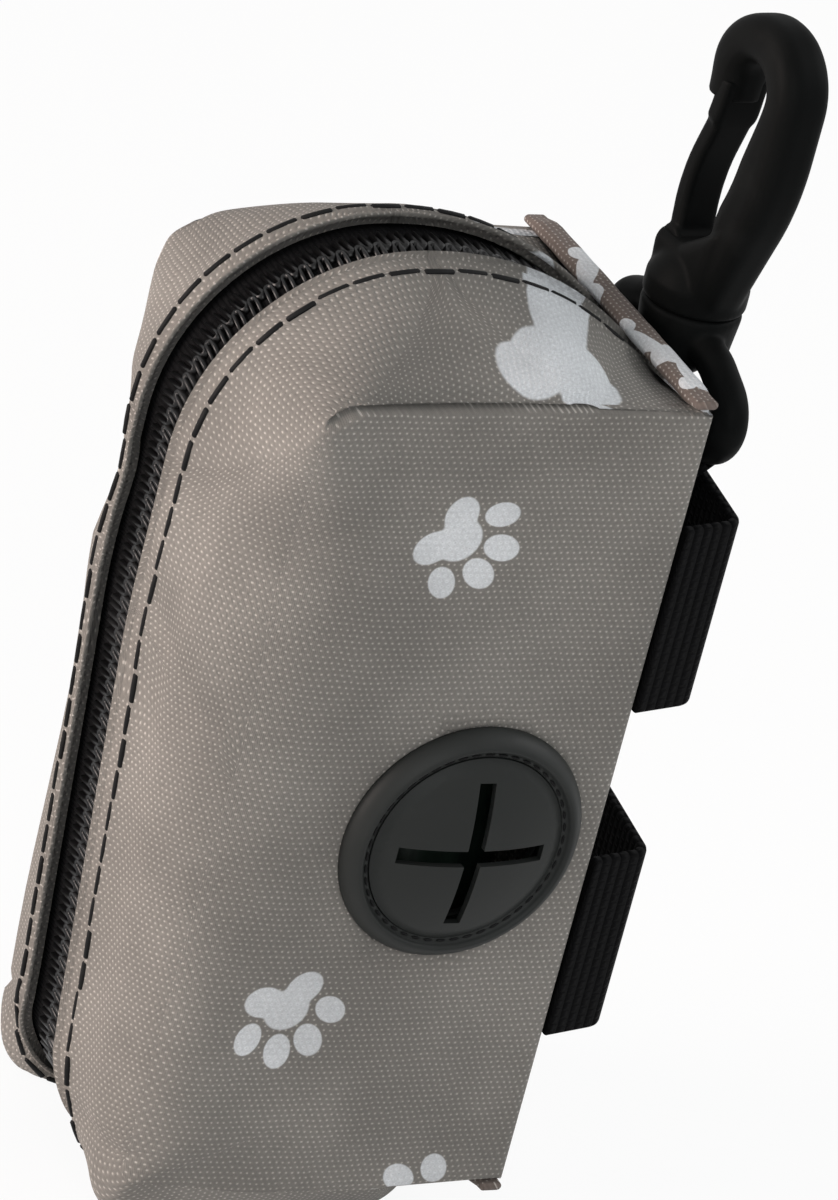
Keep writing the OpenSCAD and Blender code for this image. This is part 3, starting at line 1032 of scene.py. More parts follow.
@dataclass(frozen=True)
class Card:
    """Grey-brown cardboard with fibres."""

    name: str = "core_card"
    colour: tuple[float, ...] = rgb(150, 122, 88)
    pale: tuple[float, ...] = rgb(184, 156, 118)

    def build(self) -> bpy.types.Material:
        """Makes the material.

        Returns:
            The material.
        """
        material, kit, shader = new_material(self.name, 0.85, Specular_IOR_Level=0.2)
        place = kit.add("TexCoord").outputs["Object"]
        fibre = kit.noise(place, 1500.0, 5.0)
        kit.feed(shader.inputs["Base Color"], kit.mix(fibre, self.colour, self.pale))
        raise_surface(kit, shader, fibre, 0.05)
        return material


# ---- Pouch


@dataclass
class PouchShape:
    """Lines of the pouch, in millimetres, with the same rules as the solids they stand for."""

    width: float = 42.4
    side_h: float = 94.0
    back_y: float = 23.2
    front_top_y: float = 21.0
    front_low_y: float = 24.4
    wall: float = 1.2
    top_rise: float = 8.8
    front_bulge: float = 5.4
    low_seam: float = 6.5
    zip_lift: float = 3.4
    end_lift: float = 4.8
    zip_half: float = 4.2
    slider_half: float = 5.5
    gap: float = 0.3
    binding_w: float = 3.0
    cheek_drop: float = 5.2
    fine: int = 3
    side_line: list[Vector] = field(init=False)
    zip_line: list[Vector] = field(init=False)
    side_out: list[Vector] = field(init=False)
    zip_out: list[Vector] = field(init=False)

    def __post_init__(self) -> None:
        """Works out the seam line and the zip line."""
        self.in_y = self.back_y - self.wall
        self.side_x = self.width / 2
        self.top_seam = self.low_seam + self.side_h
        self.crest = self.top_seam + self.top_rise
        self.mid_z = (self.low_seam + self.top_seam) / 2
        self.front_y = (self.front_low_y + self.front_top_y) / 2
        steps, runs = 7 * self.fine, 3 * self.fine
        self.side_line = rounded(
            (
                (self.in_y, self.low_seam),
                (8, self.low_seam - 0.4, 60),
                (-self.front_low_y, self.low_seam, 3),
                (-self.front_y - 0.6, self.mid_z, 200),
                (-self.front_top_y, self.top_seam, 4),
                (8, self.top_seam + 0.4, 60),
                (self.in_y, self.top_seam),
            ),
            steps,
            runs,
        )
        self.zip_line = rounded(
            (
                (self.in_y, self.zip_lift + self.end_lift),
                (self.in_y - 5.5, self.zip_lift, 12),
                (-self.front_low_y + 0.6, self.zip_lift, 12),
                (-self.front_y - self.front_bulge, self.mid_z + 14, 120),
                (-self.front_y - self.front_bulge + 0.2, self.crest, 23),
                (self.in_y - 14, self.crest, 36),
                (self.in_y, self.top_seam - 1.6),
            ),
            steps,
            runs,
        )
        self.last = len(self.zip_line) - 1
        self.side_out = left_of(self.side_line)
        self.zip_out = left_of(self.zip_line)
        self.zip_out[0], self.zip_out[-1] = Vector((0, -1)), Vector((0, 1))

    def edge_x(self, k: int) -> float:
        """Where the fabric's edge beside the zip lies.

        Args:
            k: Step along the seams.

        Returns:
            Its x on the right half.
        """
        z = self.zip_line[k].y
        wide = self.slider_half + self.gap - self.zip_half
        return self.zip_half + wide * clamp((self.low_seam + 9 - z) / 6)

    def cheek(self, k: int) -> float:
        """How far the lower cheek swells at a step.

        Args:
            k: Step along the seams.

        Returns:
            The swelling, in millimetres.
        """
        p = self.zip_line[k]
        if p.y > self.mid_z:
            return 0.0
        swell = math.sin(math.pi / 2 * clamp((p.x + self.front_low_y - 1) / 9))
        swell *= math.sin(math.pi / 2 * clamp((self.back_y - self.binding_w - p.x) / 8))
        return self.cheek_drop * swell

    def shell_point(self, k: int, t: float, d: float) -> Vector:
        """Point of a half of the pouch.

        Args:
            k: Step along the seams.
            t: 0 at the side to 1 at the fabric's edge beside the zip.
            d: Depth under the face.

        Returns:
            The point, on the right half.
        """
        u = min(t, 1.0)
        s = self.side_line[k] - self.side_out[k] * d
        z = self.zip_line[k] - self.zip_out[k] * d
        p = s + (z - s) * math.sin(math.pi / 2 * u)
        p += self.zip_out[k] * (self.cheek(k) * math.sin(math.pi * u))
        x0 = self.side_x - d
        return Vector((x0 - (x0 - self.edge_x(k)) * t, p.x, max(p.y, d)))

    def strip_normal(self, k: int, t: float) -> Vector:
        """Outward direction of the strip between the side and the zip.

        Args:
            k: Step along the seams.
            t: 0 at the side to 1 beside the zip.

        Returns:
            The direction, of length 1.
        """
        a, b = max(k - 1, 0), min(k + 1, self.last)
        along = self.shell_point(b, t, 0) - self.shell_point(a, t, 0)
        across = self.shell_point(k, min(t + 0.02, 1), 0) - self.shell_point(k, max(t - 0.02, 0), 0)
        return across.cross(along).normalized()

    def upper(self, k: int) -> float:
        """1 on the upper run, 0 on the front and lower runs."""
        s = self.side_line[k]
        return ease((s.x + self.front_top_y - 0.2) / 1.5) if s.y > self.top_seam - 4 else 0.0

    def lower(self, k: int) -> float:
        """1 on the lower run, 0 on the front and upper runs."""
        s = self.side_line[k]
        return ease((s.x + self.front_low_y - 0.2) / 1.5) if s.y < self.low_seam + 4 else 0.0


@dataclass
class Shell:
    """One half of the pouch: side, front strip, dome and bottom, with its fold beside the zip.

    The side is sewn to the strip along a seam, which is a slot with a lip over it on the upper run and a soft
    crease, rounded off by crease_round, on the front run.
    """

    shape: PouchShape
    side: Side
    fabric: bpy.types.Material
    outlet: Point = (6.5, 50.0)
    hole_r: float = 11.95
    side_steps: int = 22
    strip_steps: int = 32
    inner_steps: int = 12
    roll_steps: int = 5
    back_round: float = 0.9
    crease_round: float = 15.0
    low_fade: float = 20.0
    fold_t: float = 0.8
    slot_depth: float = 2.4
    mouth_depth: float = 1.2
    lip: float = 0.55
    slack: float = 0.5
    stitch_in: float = 2.5
    stitch_pitch: float = 3.9
    stitch_gap: float = 0.34
    stitch_r: float = 0.37

    def __post_init__(self) -> None:
        """Works out the lengths along the seam and along the middle of the strip."""
        shape = self.shape
        run = lengths(shape.side_line)
        self.share = [s / run[-1] for s in run]
        self.mid = [(a + b) / 2 for a, b in zip(shape.side_line, shape.zip_line)]
        self.mid_run = lengths(self.mid)
        level = min(range(shape.last + 1), key=lambda k: abs(self.mid[k].y - shape.mid_z))
        self.start = self.mid_run[level] - self.mid[level].y

    def station(self, u: float, crowd: float = 0.09) -> float:
        """Share of a width at a share of its columns, which crowd towards both edges."""
        return u - crowd * math.sin(2 * math.pi * u)

    def rounding(self, k: int) -> tuple[float, Vector]:
        """How the crease between side and strip is rounded off at a step.

        Args:
            k: Step along the seams.

        Returns:
            The reach of the rounding on both faces, and how far it moves the crease.
        """
        shape = self.shape
        s, out = shape.side_line[k], shape.side_out[k]
        below = (s.x + shape.front_low_y) / self.low_fade if s.y < shape.low_seam + 4 else 0.0
        front = (1 - shape.upper(k)) * ease(1 - below)
        full = ease((shape.top_seam - 1 - s.y) / 18) * (1 - 0.25 * ease((50 - s.y) / 40))
        reach = 1.3 + self.crease_round * front * full
        on_side = Vector((0, -out.x, -out.y))
        on_strip = (shape.shell_point(k, 0.12, 0) - shape.shell_point(k, 0, 0)).normalized()
        between = (on_side + on_strip).normalized()
        return reach, between * (reach * math.cos(on_side.angle(on_strip) / 2) / 2)

    def side_row(self, k: int, depth: float) -> Ring:
        """Points of one step on the side, from the back edge to the crease.

        Args:
            k: Step along the seams.
            depth: Depth under the face.

        Returns:
            The points.
        """
        shape = self.shape
        s, out = shape.side_line[k] - shape.side_out[k] * depth, shape.side_out[k]
        reach, move = self.rounding(k)
        height = shape.low_seam + depth + (shape.side_h - 2 * depth) * self.share[k]
        back = Vector((shape.back_y - 0.1 - self.back_round, height))
        made = []
        for i in range(self.side_steps):
            p = back + (s - back) * self.station(i / self.side_steps)
            far = (s - p).dot(out)
            slack = noise.noise(Vector((p.x * 0.05, p.y * 0.045, 3.1 * self.side.value))) * self.slack
            near = min(p.x + shape.front_y, back.x - p.x, p.y - shape.low_seam, shape.top_seam - p.y)
            clear = clamp((math.hypot(p.x - self.outlet[0], p.y - self.outlet[1]) - 14) / 8)
            point = Vector((shape.side_x - depth + slack * ease(near / 9) * clear, p.x, p.y))
            made.append(point + move * clamp(1 - far / reach) ** 2)
        return made

    def strip_row(self, k: int) -> tuple[Ring, list[float]]:
        """Outer points of one step on the strip.

        Args:
            k: Step along the seams.

        Returns:
            The points from the crease to the fold, and their distances from the crease.
        """
        shape = self.shape
        reach, move = self.rounding(k)
        width = 1 - self.fold_t / 2 / (shape.side_x - shape.edge_x(k))
        shares = [self.station(j / self.strip_steps) * width for j in range(self.strip_steps + 1)]
        raw = [shape.shell_point(k, t, 0) for t in shares]
        run = lengths(raw)
        mouth = 1 - ease((shape.side_line[k].x + shape.front_top_y - 9) / 12)
        slot = (self.slot_depth + self.mouth_depth * mouth) * shape.upper(k)
        points = []
        for t, p, far in zip(shares, raw, run):
            edge = run[-1] - far
            lift = 0.30 * hump(edge, 1.2, 0.8) - 0.42 * hump(edge, self.stitch_in, 0.42)
            lift += (0.45 * hump(edge, 6.0, 2.6) + 0.2 * hump(edge, 11, 5)) * ease(far / 4)
            drift = noise.noise(p * 0.09 + Vector((0, 0, 9 * self.side.value)))
            lift += 0.28 * drift * ease(far / 5) * ease(edge / 5)
            lift += self.lip * shape.upper(k) * hump(far, 1.5, 0.7)
            moved = p + shape.strip_normal(k, t) * lift + move * clamp(1 - far / reach) ** 2
            moved.x -= slot * hump(far, 0.1, 0.42)
            moved.z = max(moved.z, 0.02)
            points.append(moved)
        return points, run

    def ring(self, k: int) -> tuple[Ring, list[float]]:
        """Closed section of the shell at one step.

        Args:
            k: Step along the seams.

        Returns:
            Its points, from the back edge over the side, strip and fold and back inside, and the distance of
            each from the crease, below 0 on the side.
        """
        shape = self.shape
        r, last = self.back_round, shape.back_y - 0.1
        side = self.side_row(k, 0)
        height = side[0].z
        points = []
        for b in (0.0, 0.12, 0.4):
            points.append(Vector((shape.side_x - r + math.sqrt(r * r - (r - b) ** 2), last - b, height)))
        points += side
        strip, _ = self.strip_row(k)
        points += strip
        edge, inward = strip[-1], (strip[-1] - strip[-2]).normalized()
        down, half = -shape.strip_normal(k, 1.0), self.fold_t / 2
        for j in range(1, self.roll_steps):
            a = math.pi * j / self.roll_steps
            points.append(edge + down * (half * (1 - math.cos(a))) + inward * (half * math.sin(a)))
        reach, move = self.rounding(k)
        width = 1 - half / (shape.side_x - shape.edge_x(k))
        inner = []
        for j in range(self.inner_steps + 1):
            depth = self.fold_t + (shape.wall - self.fold_t) * ease(j / 3)
            share = width * (1 - self.station(j / self.inner_steps, 0.06))
            inner.append(shape.shell_point(k, share, depth))
        left = lengths(inner[::-1])[::-1]
        points += [p + move * clamp(1 - d / reach) ** 2 for p, d in zip(inner, left)]
        points += self.side_row(k, shape.wall)[:0:-2]
        points.append(points[0].copy())
        run = lengths(points)
        return points, [r - run[3 + self.side_steps] for r in run]

    def run_at(self, p: Vector, k: int) -> float:
        """Length along the strip's middle at the place nearest to a point of step k.

        Args:
            p: The point.
            k: Its step, round which the nearest place is looked for.

        Returns:
            The length, 0 at the middle of the side's height.
        """
        spot, best = p.yz, (math.inf, 0.0)
        for n in range(max(k - 10, 0), min(k + 10, self.shape.last)):
            a, d = self.mid[n], self.mid[n + 1] - self.mid[n]
            share = clamp((spot - a).dot(d) / d.length_squared)
            best = min(best, ((a + d * share - spot).length, self.mid_run[n] + share * d.length))
        return best[1] - self.start

    def chart(self, p: Vector, far: float, k: int, on_strip: bool) -> Point:
        """Cloth coordinates: y and z on the side, lengths across and along on the strip.

        Args:
            p: The point.
            far: Its distance from the crease.
            k: Step along the seams.
            on_strip: Whether its face lies on the strip.

        Returns:
            The coordinates, in millimetres.
        """
        shape = self.shape
        if on_strip:
            return (-far, self.run_at(p, k))
        lean = (shape.front_low_y - shape.front_top_y) * (p.z - shape.low_seam) / shape.side_h
        return (p.y + shape.front_low_y - lean, p.z)

    def build(self) -> bpy.types.Object:
        """Makes the half shell.

        Returns:
            The piece, laid on its body.
        """
        shape = self.shape
        rows = [self.ring(k) for k in range(shape.last + 1)]
        rings = [points for points, _ in rows]
        bm = loft(rings, closed=False, caps=False, chart=lambda j, i: (float(i), float(j)))
        layer = bm.loops.layers.uv["cloth"]
        first = 3 + self.side_steps
        cloth: dict[tuple[int, int, bool], Point] = {}
        for face in bm.faces:
            spots = [(round(loop[layer].uv.y), round(loop[layer].uv.x)) for loop in face.loops]
            on_strip = all(i >= first for _, i in spots)
            for loop, (j, i) in zip(face.loops, spots):
                key = (j, i, on_strip)
                if key not in cloth:
                    cloth[key] = self.chart(rings[j][i], rows[j][1][i], j, on_strip)
                loop[layer].uv = cloth[key]
        bmesh.ops.remove_doubles(bm, verts=[v for v in bm.verts if v.is_boundary], dist=0.01)
        if self.side is Side.RIGHT:
            self.cut_hole(bm)
        ends = [e for e in bm.edges if e.is_boundary and all(v.co.y > shape.in_y - 0.5 for v in e.verts)]
        bmesh.ops.holes_fill(bm, edges=ends, sides=0)
        bmesh.ops.recalc_face_normals(bm, faces=bm.faces)
        mirror_to(bm, self.side)
        made = piece_from(bm, f"fabric_shell_{self.side.name.lower()}", [self.fabric])
        return carried(made, "pouch", "printed_fabric", f"{self.side.name.lower()}_shell")

    def cut_hole(self, bm: bmesh.types.BMesh) -> None:
        """Opens the side behind the outlet, with its edge drawn onto the hole's circle.

        Args:
            bm: The shell, which is changed.
        """
        y0, z0 = self.outlet
        flat = [v for v in bm.verts if v.co.x > self.shape.side_x - 3]
        for v in flat:
            d = Vector((v.co.y - y0, v.co.z - z0))
            if abs(d.length - self.hole_r) < 1.3:
                d = d.normalized() * self.hole_r
                v.co.y, v.co.z = y0 + d.x, z0 + d.y
        inside = []
        for face in bm.faces:
            middle = face.calc_center_median()
            near = math.hypot(middle.y - y0, middle.z - z0) < self.hole_r - 0.15
            if near and middle.x > self.shape.side_x - 3:
                inside.append(face)
        bmesh.ops.delete(bm, geom=inside, context="FACES")
        rim = [e for e in bm.edges if e.is_boundary and all(v.co.y < self.shape.in_y - 2 for v in e.verts)]
        bmesh.ops.bridge_loops(bm, edges=rim)

    def stitches(self, thread: bpy.types.Material) -> bpy.types.Object:
        """Makes the topstitching along the fold, one slim round-ended bar for each stitch.

        Args:
            thread: Finish of the thread.

        Returns:
            The piece, laid on its body.
        """
        shape = self.shape
        path, ups = [], []
        for k in range(2, shape.last - 1):
            points, run = self.strip_row(k)
            want = run[-1] - self.stitch_in
            i = max(n for n in range(len(run) - 1) if run[n] <= want)
            path.append(points[i].lerp(points[i + 1], (want - run[i]) / (run[i + 1] - run[i])))
            ups.append(shape.strip_normal(k, 0.8))
        run = lengths(path)

        def at(s: float) -> tuple[Vector, Vector]:
            """Place and outward direction at a length.

            Args:
                s: The length.

            Returns:
                The place and the direction.
            """
            i = max(n for n in range(len(run) - 1) if run[n] <= s or n == 0)
            share = clamp((s - run[i]) / (run[i + 1] - run[i]))
            return path[i].lerp(path[i + 1], share), ups[i].lerp(ups[i + 1], share).normalized()

        whole = bmesh.new()
        half, r = (self.stitch_pitch - self.stitch_gap) / 2, self.stitch_r
        for n in range(int(run[-1] / self.stitch_pitch)):
            a, _ = at((n + 0.5) * self.stitch_pitch - half)
            b, _ = at((n + 0.5) * self.stitch_pitch + half)
            m, up = at((n + 0.5) * self.stitch_pitch)
            d = (b - a).normalized()
            wave = 0.3 * noise.noise(Vector((n * 0.7, 0, 3.3 * self.side.value)))
            bead = bmesh.ops.create_uvsphere(whole, u_segments=8, v_segments=8, radius=r)["verts"]
            long = (b - a).length / 2 - r
            for v in bead:
                bow = 1 - min(1.0, (v.co.z / r) ** 2)
                v.co.z += math.copysign(long, v.co.z) if abs(v.co.z) > 0.02 else 0.0
                v.co.y += ((m - (a + b) / 2).dot(up)) * bow * 0.8
            side = up.cross(d)
            frame = Matrix((side, up, d)).transposed().to_4x4()
            place = Matrix.Translation((a + b) / 2 + up * 0.14 + side * wave) @ frame
            bmesh.ops.transform(whole, matrix=place, verts=bead)
        mirror_to(whole, self.side)
        made = piece_from(whole, f"topstitch_{self.side.name.lower()}", [thread])
        return carried(made, "pouch", "zip_tape")


@dataclass
class BackPanel:
    """Flat back of the pouch and the binding over its upper and lower seam."""

    shape: PouchShape
    fabric: bpy.types.Material
    trim: bpy.types.Material
    binding_t: float = 1.7
    seam_gap: float = 0.05

    def build_panel(self) -> bpy.types.Object:
        """Makes the panel with soft long edges.

        Returns:
            The piece, laid on its body.
        """
        shape = self.shape
        rings = []
        half = shape.side_x - shape.wall
        outline = section(2 * half, shape.wall, 0.5)
        steps = 40
        for n in range(steps + 1):
            z = shape.low_seam + shape.side_h * n / steps
            ring = []
            for x, y in outline:
                slack = 0.18 * noise.noise(Vector((x * 0.07, z * 0.06, 5.5))) * ease((half - abs(x)) / 6)
                ring.append(Vector((x, shape.in_y + shape.wall / 2 + y + (slack - 0.18 if y > 0 else 0), z)))
            rings.append(ring)
        bm = loft(rings)
        for loop, layer in cloth_loops(bm):
            loop[layer].uv = (loop.vert.co.x, loop.vert.co.z)
        made = piece_from(bm, "fabric_back", [self.fabric])
        return carried(made, "pouch", "printed_fabric", "back_panel")

    def build_binding(self) -> bpy.types.Object:
        """Makes the two folded bands, the upper one with a small peak at its right end.

        Returns:
            The piece, laid on its body.
        """
        shape = self.shape
        parts = []
        steps = 44
        for sign, base in ((1, shape.top_seam + self.seam_gap), (-1, shape.low_seam - self.seam_gap)):
            rings = []
            for n in range(steps + 1):
                u = 2 * n / steps - 1
                ear = ease((abs(u) - 0.82) / 0.18)
                peak = ease((u - 0.88) / 0.12) if sign > 0 else 0.0
                height = self.binding_t * (1.0 - 0.45 * ear) + 0.1 * noise.noise(Vector((u * 7, 0, 1 + sign)))
                wide = shape.binding_w * (1.0 - 0.15 * ear)
                level = base + sign * height / 2 + 0.5 * peak
                centre = Vector((u * shape.side_x, shape.back_y - shape.binding_w / 2, level))
                lean = 0.12 * noise.noise(Vector((u * 5, 2, 1 + sign)))
                outline = section(wide, height, height / 2 - 0.01)
                rings.append([centre + Vector((0, y, z + lean * y)) for y, z in outline])
            parts.append(loft(rings))
        bm = joined(parts)
        for loop, layer in cloth_loops(bm):
            p = loop.vert.co
            loop[layer].uv = (p.x, p.y - shape.back_y + (p.z - shape.top_seam) * 0.7)
        bmesh.ops.recalc_face_normals(bm, faces=bm.faces)
        made = piece_from(bm, "fabric_binding", [self.trim])
        return carried(made, "pouch", "printed_fabric", "back_binding")


# ---- Zip


@dataclass
class Zip:
    """Zip of the pouch: two tapes, two rows of teeth, the stops, the slider and its pull."""

    shape: PouchShape
    tape_w: float = 9.4
    tape_t: float = 0.7
    tooth_pitch: float = 2.0
    tooth_t: float = 2.4
    tooth_reach: float = 2.6
    tooth_mesh: float = 0.6
    leg_half: float = 0.4
    leg_r: float = 0.3
    leg_rise: float = 0.92
    row_spread: float = 1.6
    seam_gap: float = 0.05
    slider_y: float = -6.0
    slider_travel: float = 13.0
    slider_l: float = 10.0
    slider_plate: float = 1.1
    slider_wall: float = 1.0
    pull_l: float = 17.0
    pull_w: float = 5.6
    pull_t: float = 0.8
    stop_l: float = 2.0
    bridge: tuple[float, float, float, float] = (1.8, 6.4, 2.0, 0.8)
    tape_steps: int = 6

    def __post_init__(self) -> None:
        """Works out the line of the tapes' middle."""
        shape = self.shape
        self.tape_off = shape.wall + self.seam_gap + self.tape_t / 2
        self.tape_z = shape.zip_lift + self.tape_off
        self.mid_line = [z - o * self.tape_off for z, o in zip(shape.zip_line, shape.zip_out)]
        self.run = lengths(self.mid_line)
        self.channel = self.tooth_t + 2 * shape.gap
        flat = 10 * shape.fine
        self.stop_y = self.slider_y + self.slider_travel + self.slider_l / 2 + shape.gap
        self.first_tooth = self.run[flat] + self.mid_line[flat].x - self.stop_y + shape.gap
        self.last_tooth = self.run[-1] - self.stop_l - 3
        self.count = math.floor((self.last_tooth - self.first_tooth) / self.tooth_pitch - 0.5)

    def spread(self, p: Vector) -> float:
        """How far a row stands from the middle at a point of the zip line.

        Args:
            p: The point, as (y, z).

        Returns:
            The distance, in millimetres.
        """
        if p.y > self.shape.low_seam + 6:
            return 0.0
        return self.row_spread * clamp((p.x - self.slider_y) / 3)

    def along(self, s: float) -> Vector:
        """Point of the middle line at a length.

        Args:
            s: The length.

        Returns:
            The point, as (y, z).
        """
        last = len(self.run) - 2
        i = max(0, min(last, next((n - 1 for n, r in enumerate(self.run) if r > s), last)))
        share = (s - self.run[i]) / (self.run[i + 1] - self.run[i])
        return self.mid_line[i].lerp(self.mid_line[i + 1], clamp(share))

    def at_run(self, s: float) -> Matrix:
        """Frame on the tape at a length: y along it, z to the inside of the pouch on the lower run.

        Args:
            s: The length.

        Returns:
            The frame.
        """
        d = (self.along(s + 0.5) - self.along(s - 0.5)).normalized()
        p = self.along(s)
        turn = Matrix.Rotation(math.atan2(d.y, d.x), 4, "X")
        return Matrix.Translation((0, p.x, p.y)) @ turn

    def build_tape(self, side: Side, woven: bpy.types.Material) -> bpy.types.Object:
        """Makes one tape, from under the fabric to the teeth.

        Args:
            side: The half that it belongs to.
            woven: Finish of the tape.

        Returns:
            The piece, laid on its body.
        """
        shape = self.shape
        flat, fine = 10 * shape.fine, 3 * shape.fine
        places: list[float] = []
        for k in range(shape.last):
            splits = 3 if flat <= k < flat + fine else 1
            places += [k + j / splits for j in range(splits)]
        places.append(float(shape.last))
        rings = []
        for place in places:
            k = min(int(place), shape.last - 1)
            share = place - k
            p = shape.zip_line[k].lerp(shape.zip_line[k + 1], share)
            edge = shape.edge_x(k) + (shape.edge_x(k + 1) - shape.edge_x(k)) * share
            inner = self.tooth_reach - 1.9 + self.spread(p + Vector((self.tooth_pitch * 0.38, 0)))
            xs = [self.tape_w, (self.tape_w + edge) / 2, edge]
            xs += [edge + (inner - edge) * j / self.tape_steps for j in range(1, self.tape_steps + 1)]
            faces = []
            for depth in (shape.wall + self.seam_gap, shape.wall + self.seam_gap + self.tape_t):
                x0 = shape.side_x - depth
                row = [shape.shell_point(k, (x0 - x) / (x0 - edge), depth).lerp(
                    shape.shell_point(k + 1, (x0 - x) / (x0 - edge), depth), share) for x in xs]
                faces.append([Vector((x * side.value, q.y, q.z)) for x, q in zip(xs, row)])
            rings.append(faces[0] + faces[1][::-1])
        made = piece_from(loft(rings), f"zip_tape_cloth_{side.name.lower()}", [woven])
        return carried(made, "pouch", "zip_tape", f"zip_tape_{side.name.lower()}")

    def tooth(self) -> bmesh.types.BMesh:
        """One turn of the nylon coil: two legs joined by a round head, x from 0 at the middle of the zip.

        Returns:
            The shape.
        """
        half, r = self.leg_half, self.leg_r
        reach, head = self.tooth_reach, r - self.tooth_mesh
        bend = rounded(((reach, -half), (head, -half, 0.39), (head, half, 0.39), (reach, half)), 3, 1)
        bm = tube([Vector((p.x, p.y, 0)) for p in bend], r, 6)
        bmesh.ops.scale(bm, vec=(1, 1, self.leg_rise * self.tooth_t / 2 / r), verts=bm.verts)
        return bm

    def build_teeth(self, side: Side, nylon: bpy.types.Material) -> bpy.types.Object:
        """Makes one row of teeth.

        Args:
            side: The half that it belongs to.
            nylon: Finish of the teeth.

        Returns:
            The piece, laid on its body.
        """
        one = self.tooth()
        pattern = bpy.data.meshes.new("tooth")
        one.to_mesh(pattern)
        one.free()
        row = bmesh.new()
        shift = 0.0 if side is Side.RIGHT else 0.5
        size = len(pattern.vertices)
        for n in range(self.count):
            s = self.first_tooth + (n + shift) * self.tooth_pitch
            row.from_mesh(pattern)
            row.verts.ensure_lookup_table()
            lean = Matrix.Rotation(math.radians(-8), 4, "Z")
            off = self.spread(self.along(s) - Vector((0, self.tape_off)))
            place = self.at_run(s) @ Matrix.Translation((off, self.tooth_pitch * 0.21, 0)) @ lean
            bmesh.ops.transform(row, matrix=place, verts=row.verts[-size:])
        bpy.data.meshes.remove(pattern)
        mirror_to(row, side)
        made = piece_from(row, f"zip_coil_{side.name.lower()}", [nylon])
        return carried(made, "pouch", "zip_teeth", f"zip_teeth_{side.name.lower()}")

    def build_stops(self, nylon: bpy.types.Material) -> bpy.types.Object:
        """Makes the end stop and the two upper stops.

        Args:
            nylon: Finish of the teeth.

        Returns:
            The piece, laid on its body.
        """
        wide = self.tooth_reach + self.row_spread - self.seam_gap
        end = Matrix.Translation((0, self.stop_y + self.stop_l / 2, self.tape_z))
        parts = [block((2 * wide, self.stop_l, self.tooth_t), 0.35, 3, end)]
        for sign in (1, -1):
            shift = Matrix.Translation((sign * (0.2 + self.tooth_reach / 2), self.stop_l / 2, 0))
            size = (self.tooth_reach, self.stop_l, self.tooth_t)
            parts.append(block(size, 0.35, 3, self.at_run(self.last_tooth + 1) @ shift))
        made = piece_from(joined(parts), "zip_end_stops", [nylon])
        return carried(made, "pouch", "zip_teeth", "zip_stops")

    def build_slider(self, metal: bpy.types.Material) -> bpy.types.Object:
        """Makes the slider: two plates with drawn-in flanks, their side walls, the post and the bridge.

        Args:
            metal: Finish of the slider.

        Returns:
            The piece, laid on its body.
        """
        place = Matrix.Translation((0, self.slider_y, self.tape_z))
        half, long, cut = self.shape.slider_half, self.slider_l / 2, 1.6
        outline = [
            (-half + cut, -long), (half - cut, -long), (half, -long + cut), (half, long - cut),
            (half - cut, long), (cut, long), (0, long - cut), (-cut, long), (-half + cut, long),
            (-half, long - cut), (-half, -long + cut),
        ]
        flat = Matrix.Rotation(math.radians(90), 4, "X")
        parts = []
        lip = (self.channel - self.tape_t) / 2 - self.shape.gap
        tall = lip + self.slider_plate / 2
        for sign in (1, -1):
            plate = prism([(x, -y) for x, y in outline], self.slider_plate, 0.32)
            level = Matrix.Translation((0, 0, sign * (self.channel + self.slider_plate) / 2))
            bmesh.ops.transform(plate, matrix=level @ flat, verts=plate.verts)
            parts.append(plate)
            z = sign * (self.channel / 2 - lip + tall / 2)
            for turn in (1, -1):
                spot = Matrix.Translation((turn * (half - self.slider_wall / 2), 0, z))
                parts.append(block((self.slider_wall, self.slider_l - 2 * cut, tall), 0.25, 2, spot))
        post = (1.2, 2.1, self.channel + self.slider_plate)
        parts.append(block(post, 0.0, 0, Matrix.Translation((0, long - 1.35, 0))))
        wide, length, high, thick = self.bridge
        base = -self.channel / 2 - self.slider_plate
        foot, crown = length / 2 - 0.5, -high + thick / 2
        arch = rounded(((-foot, 0.2), (-foot, crown, 1.1), (foot, crown, 1.1), (foot, 0.2)), 6, 2)
        rings = []
        for p, n in zip(arch, left_of(arch)):
            outline = section(wide, thick, 0.3)
            rings.append([Vector((a, p.x + n.x * b, base + p.y + n.y * b)) for a, b in outline])
        parts.append(loft(rings))
        bm = joined(parts)
        bmesh.ops.transform(bm, matrix=place, verts=bm.verts)
        made = piece_from(bm, "zip_slider_body", [metal], smooth=False)
        return carried(made, "slider", "slider_metal", "zip_slider")

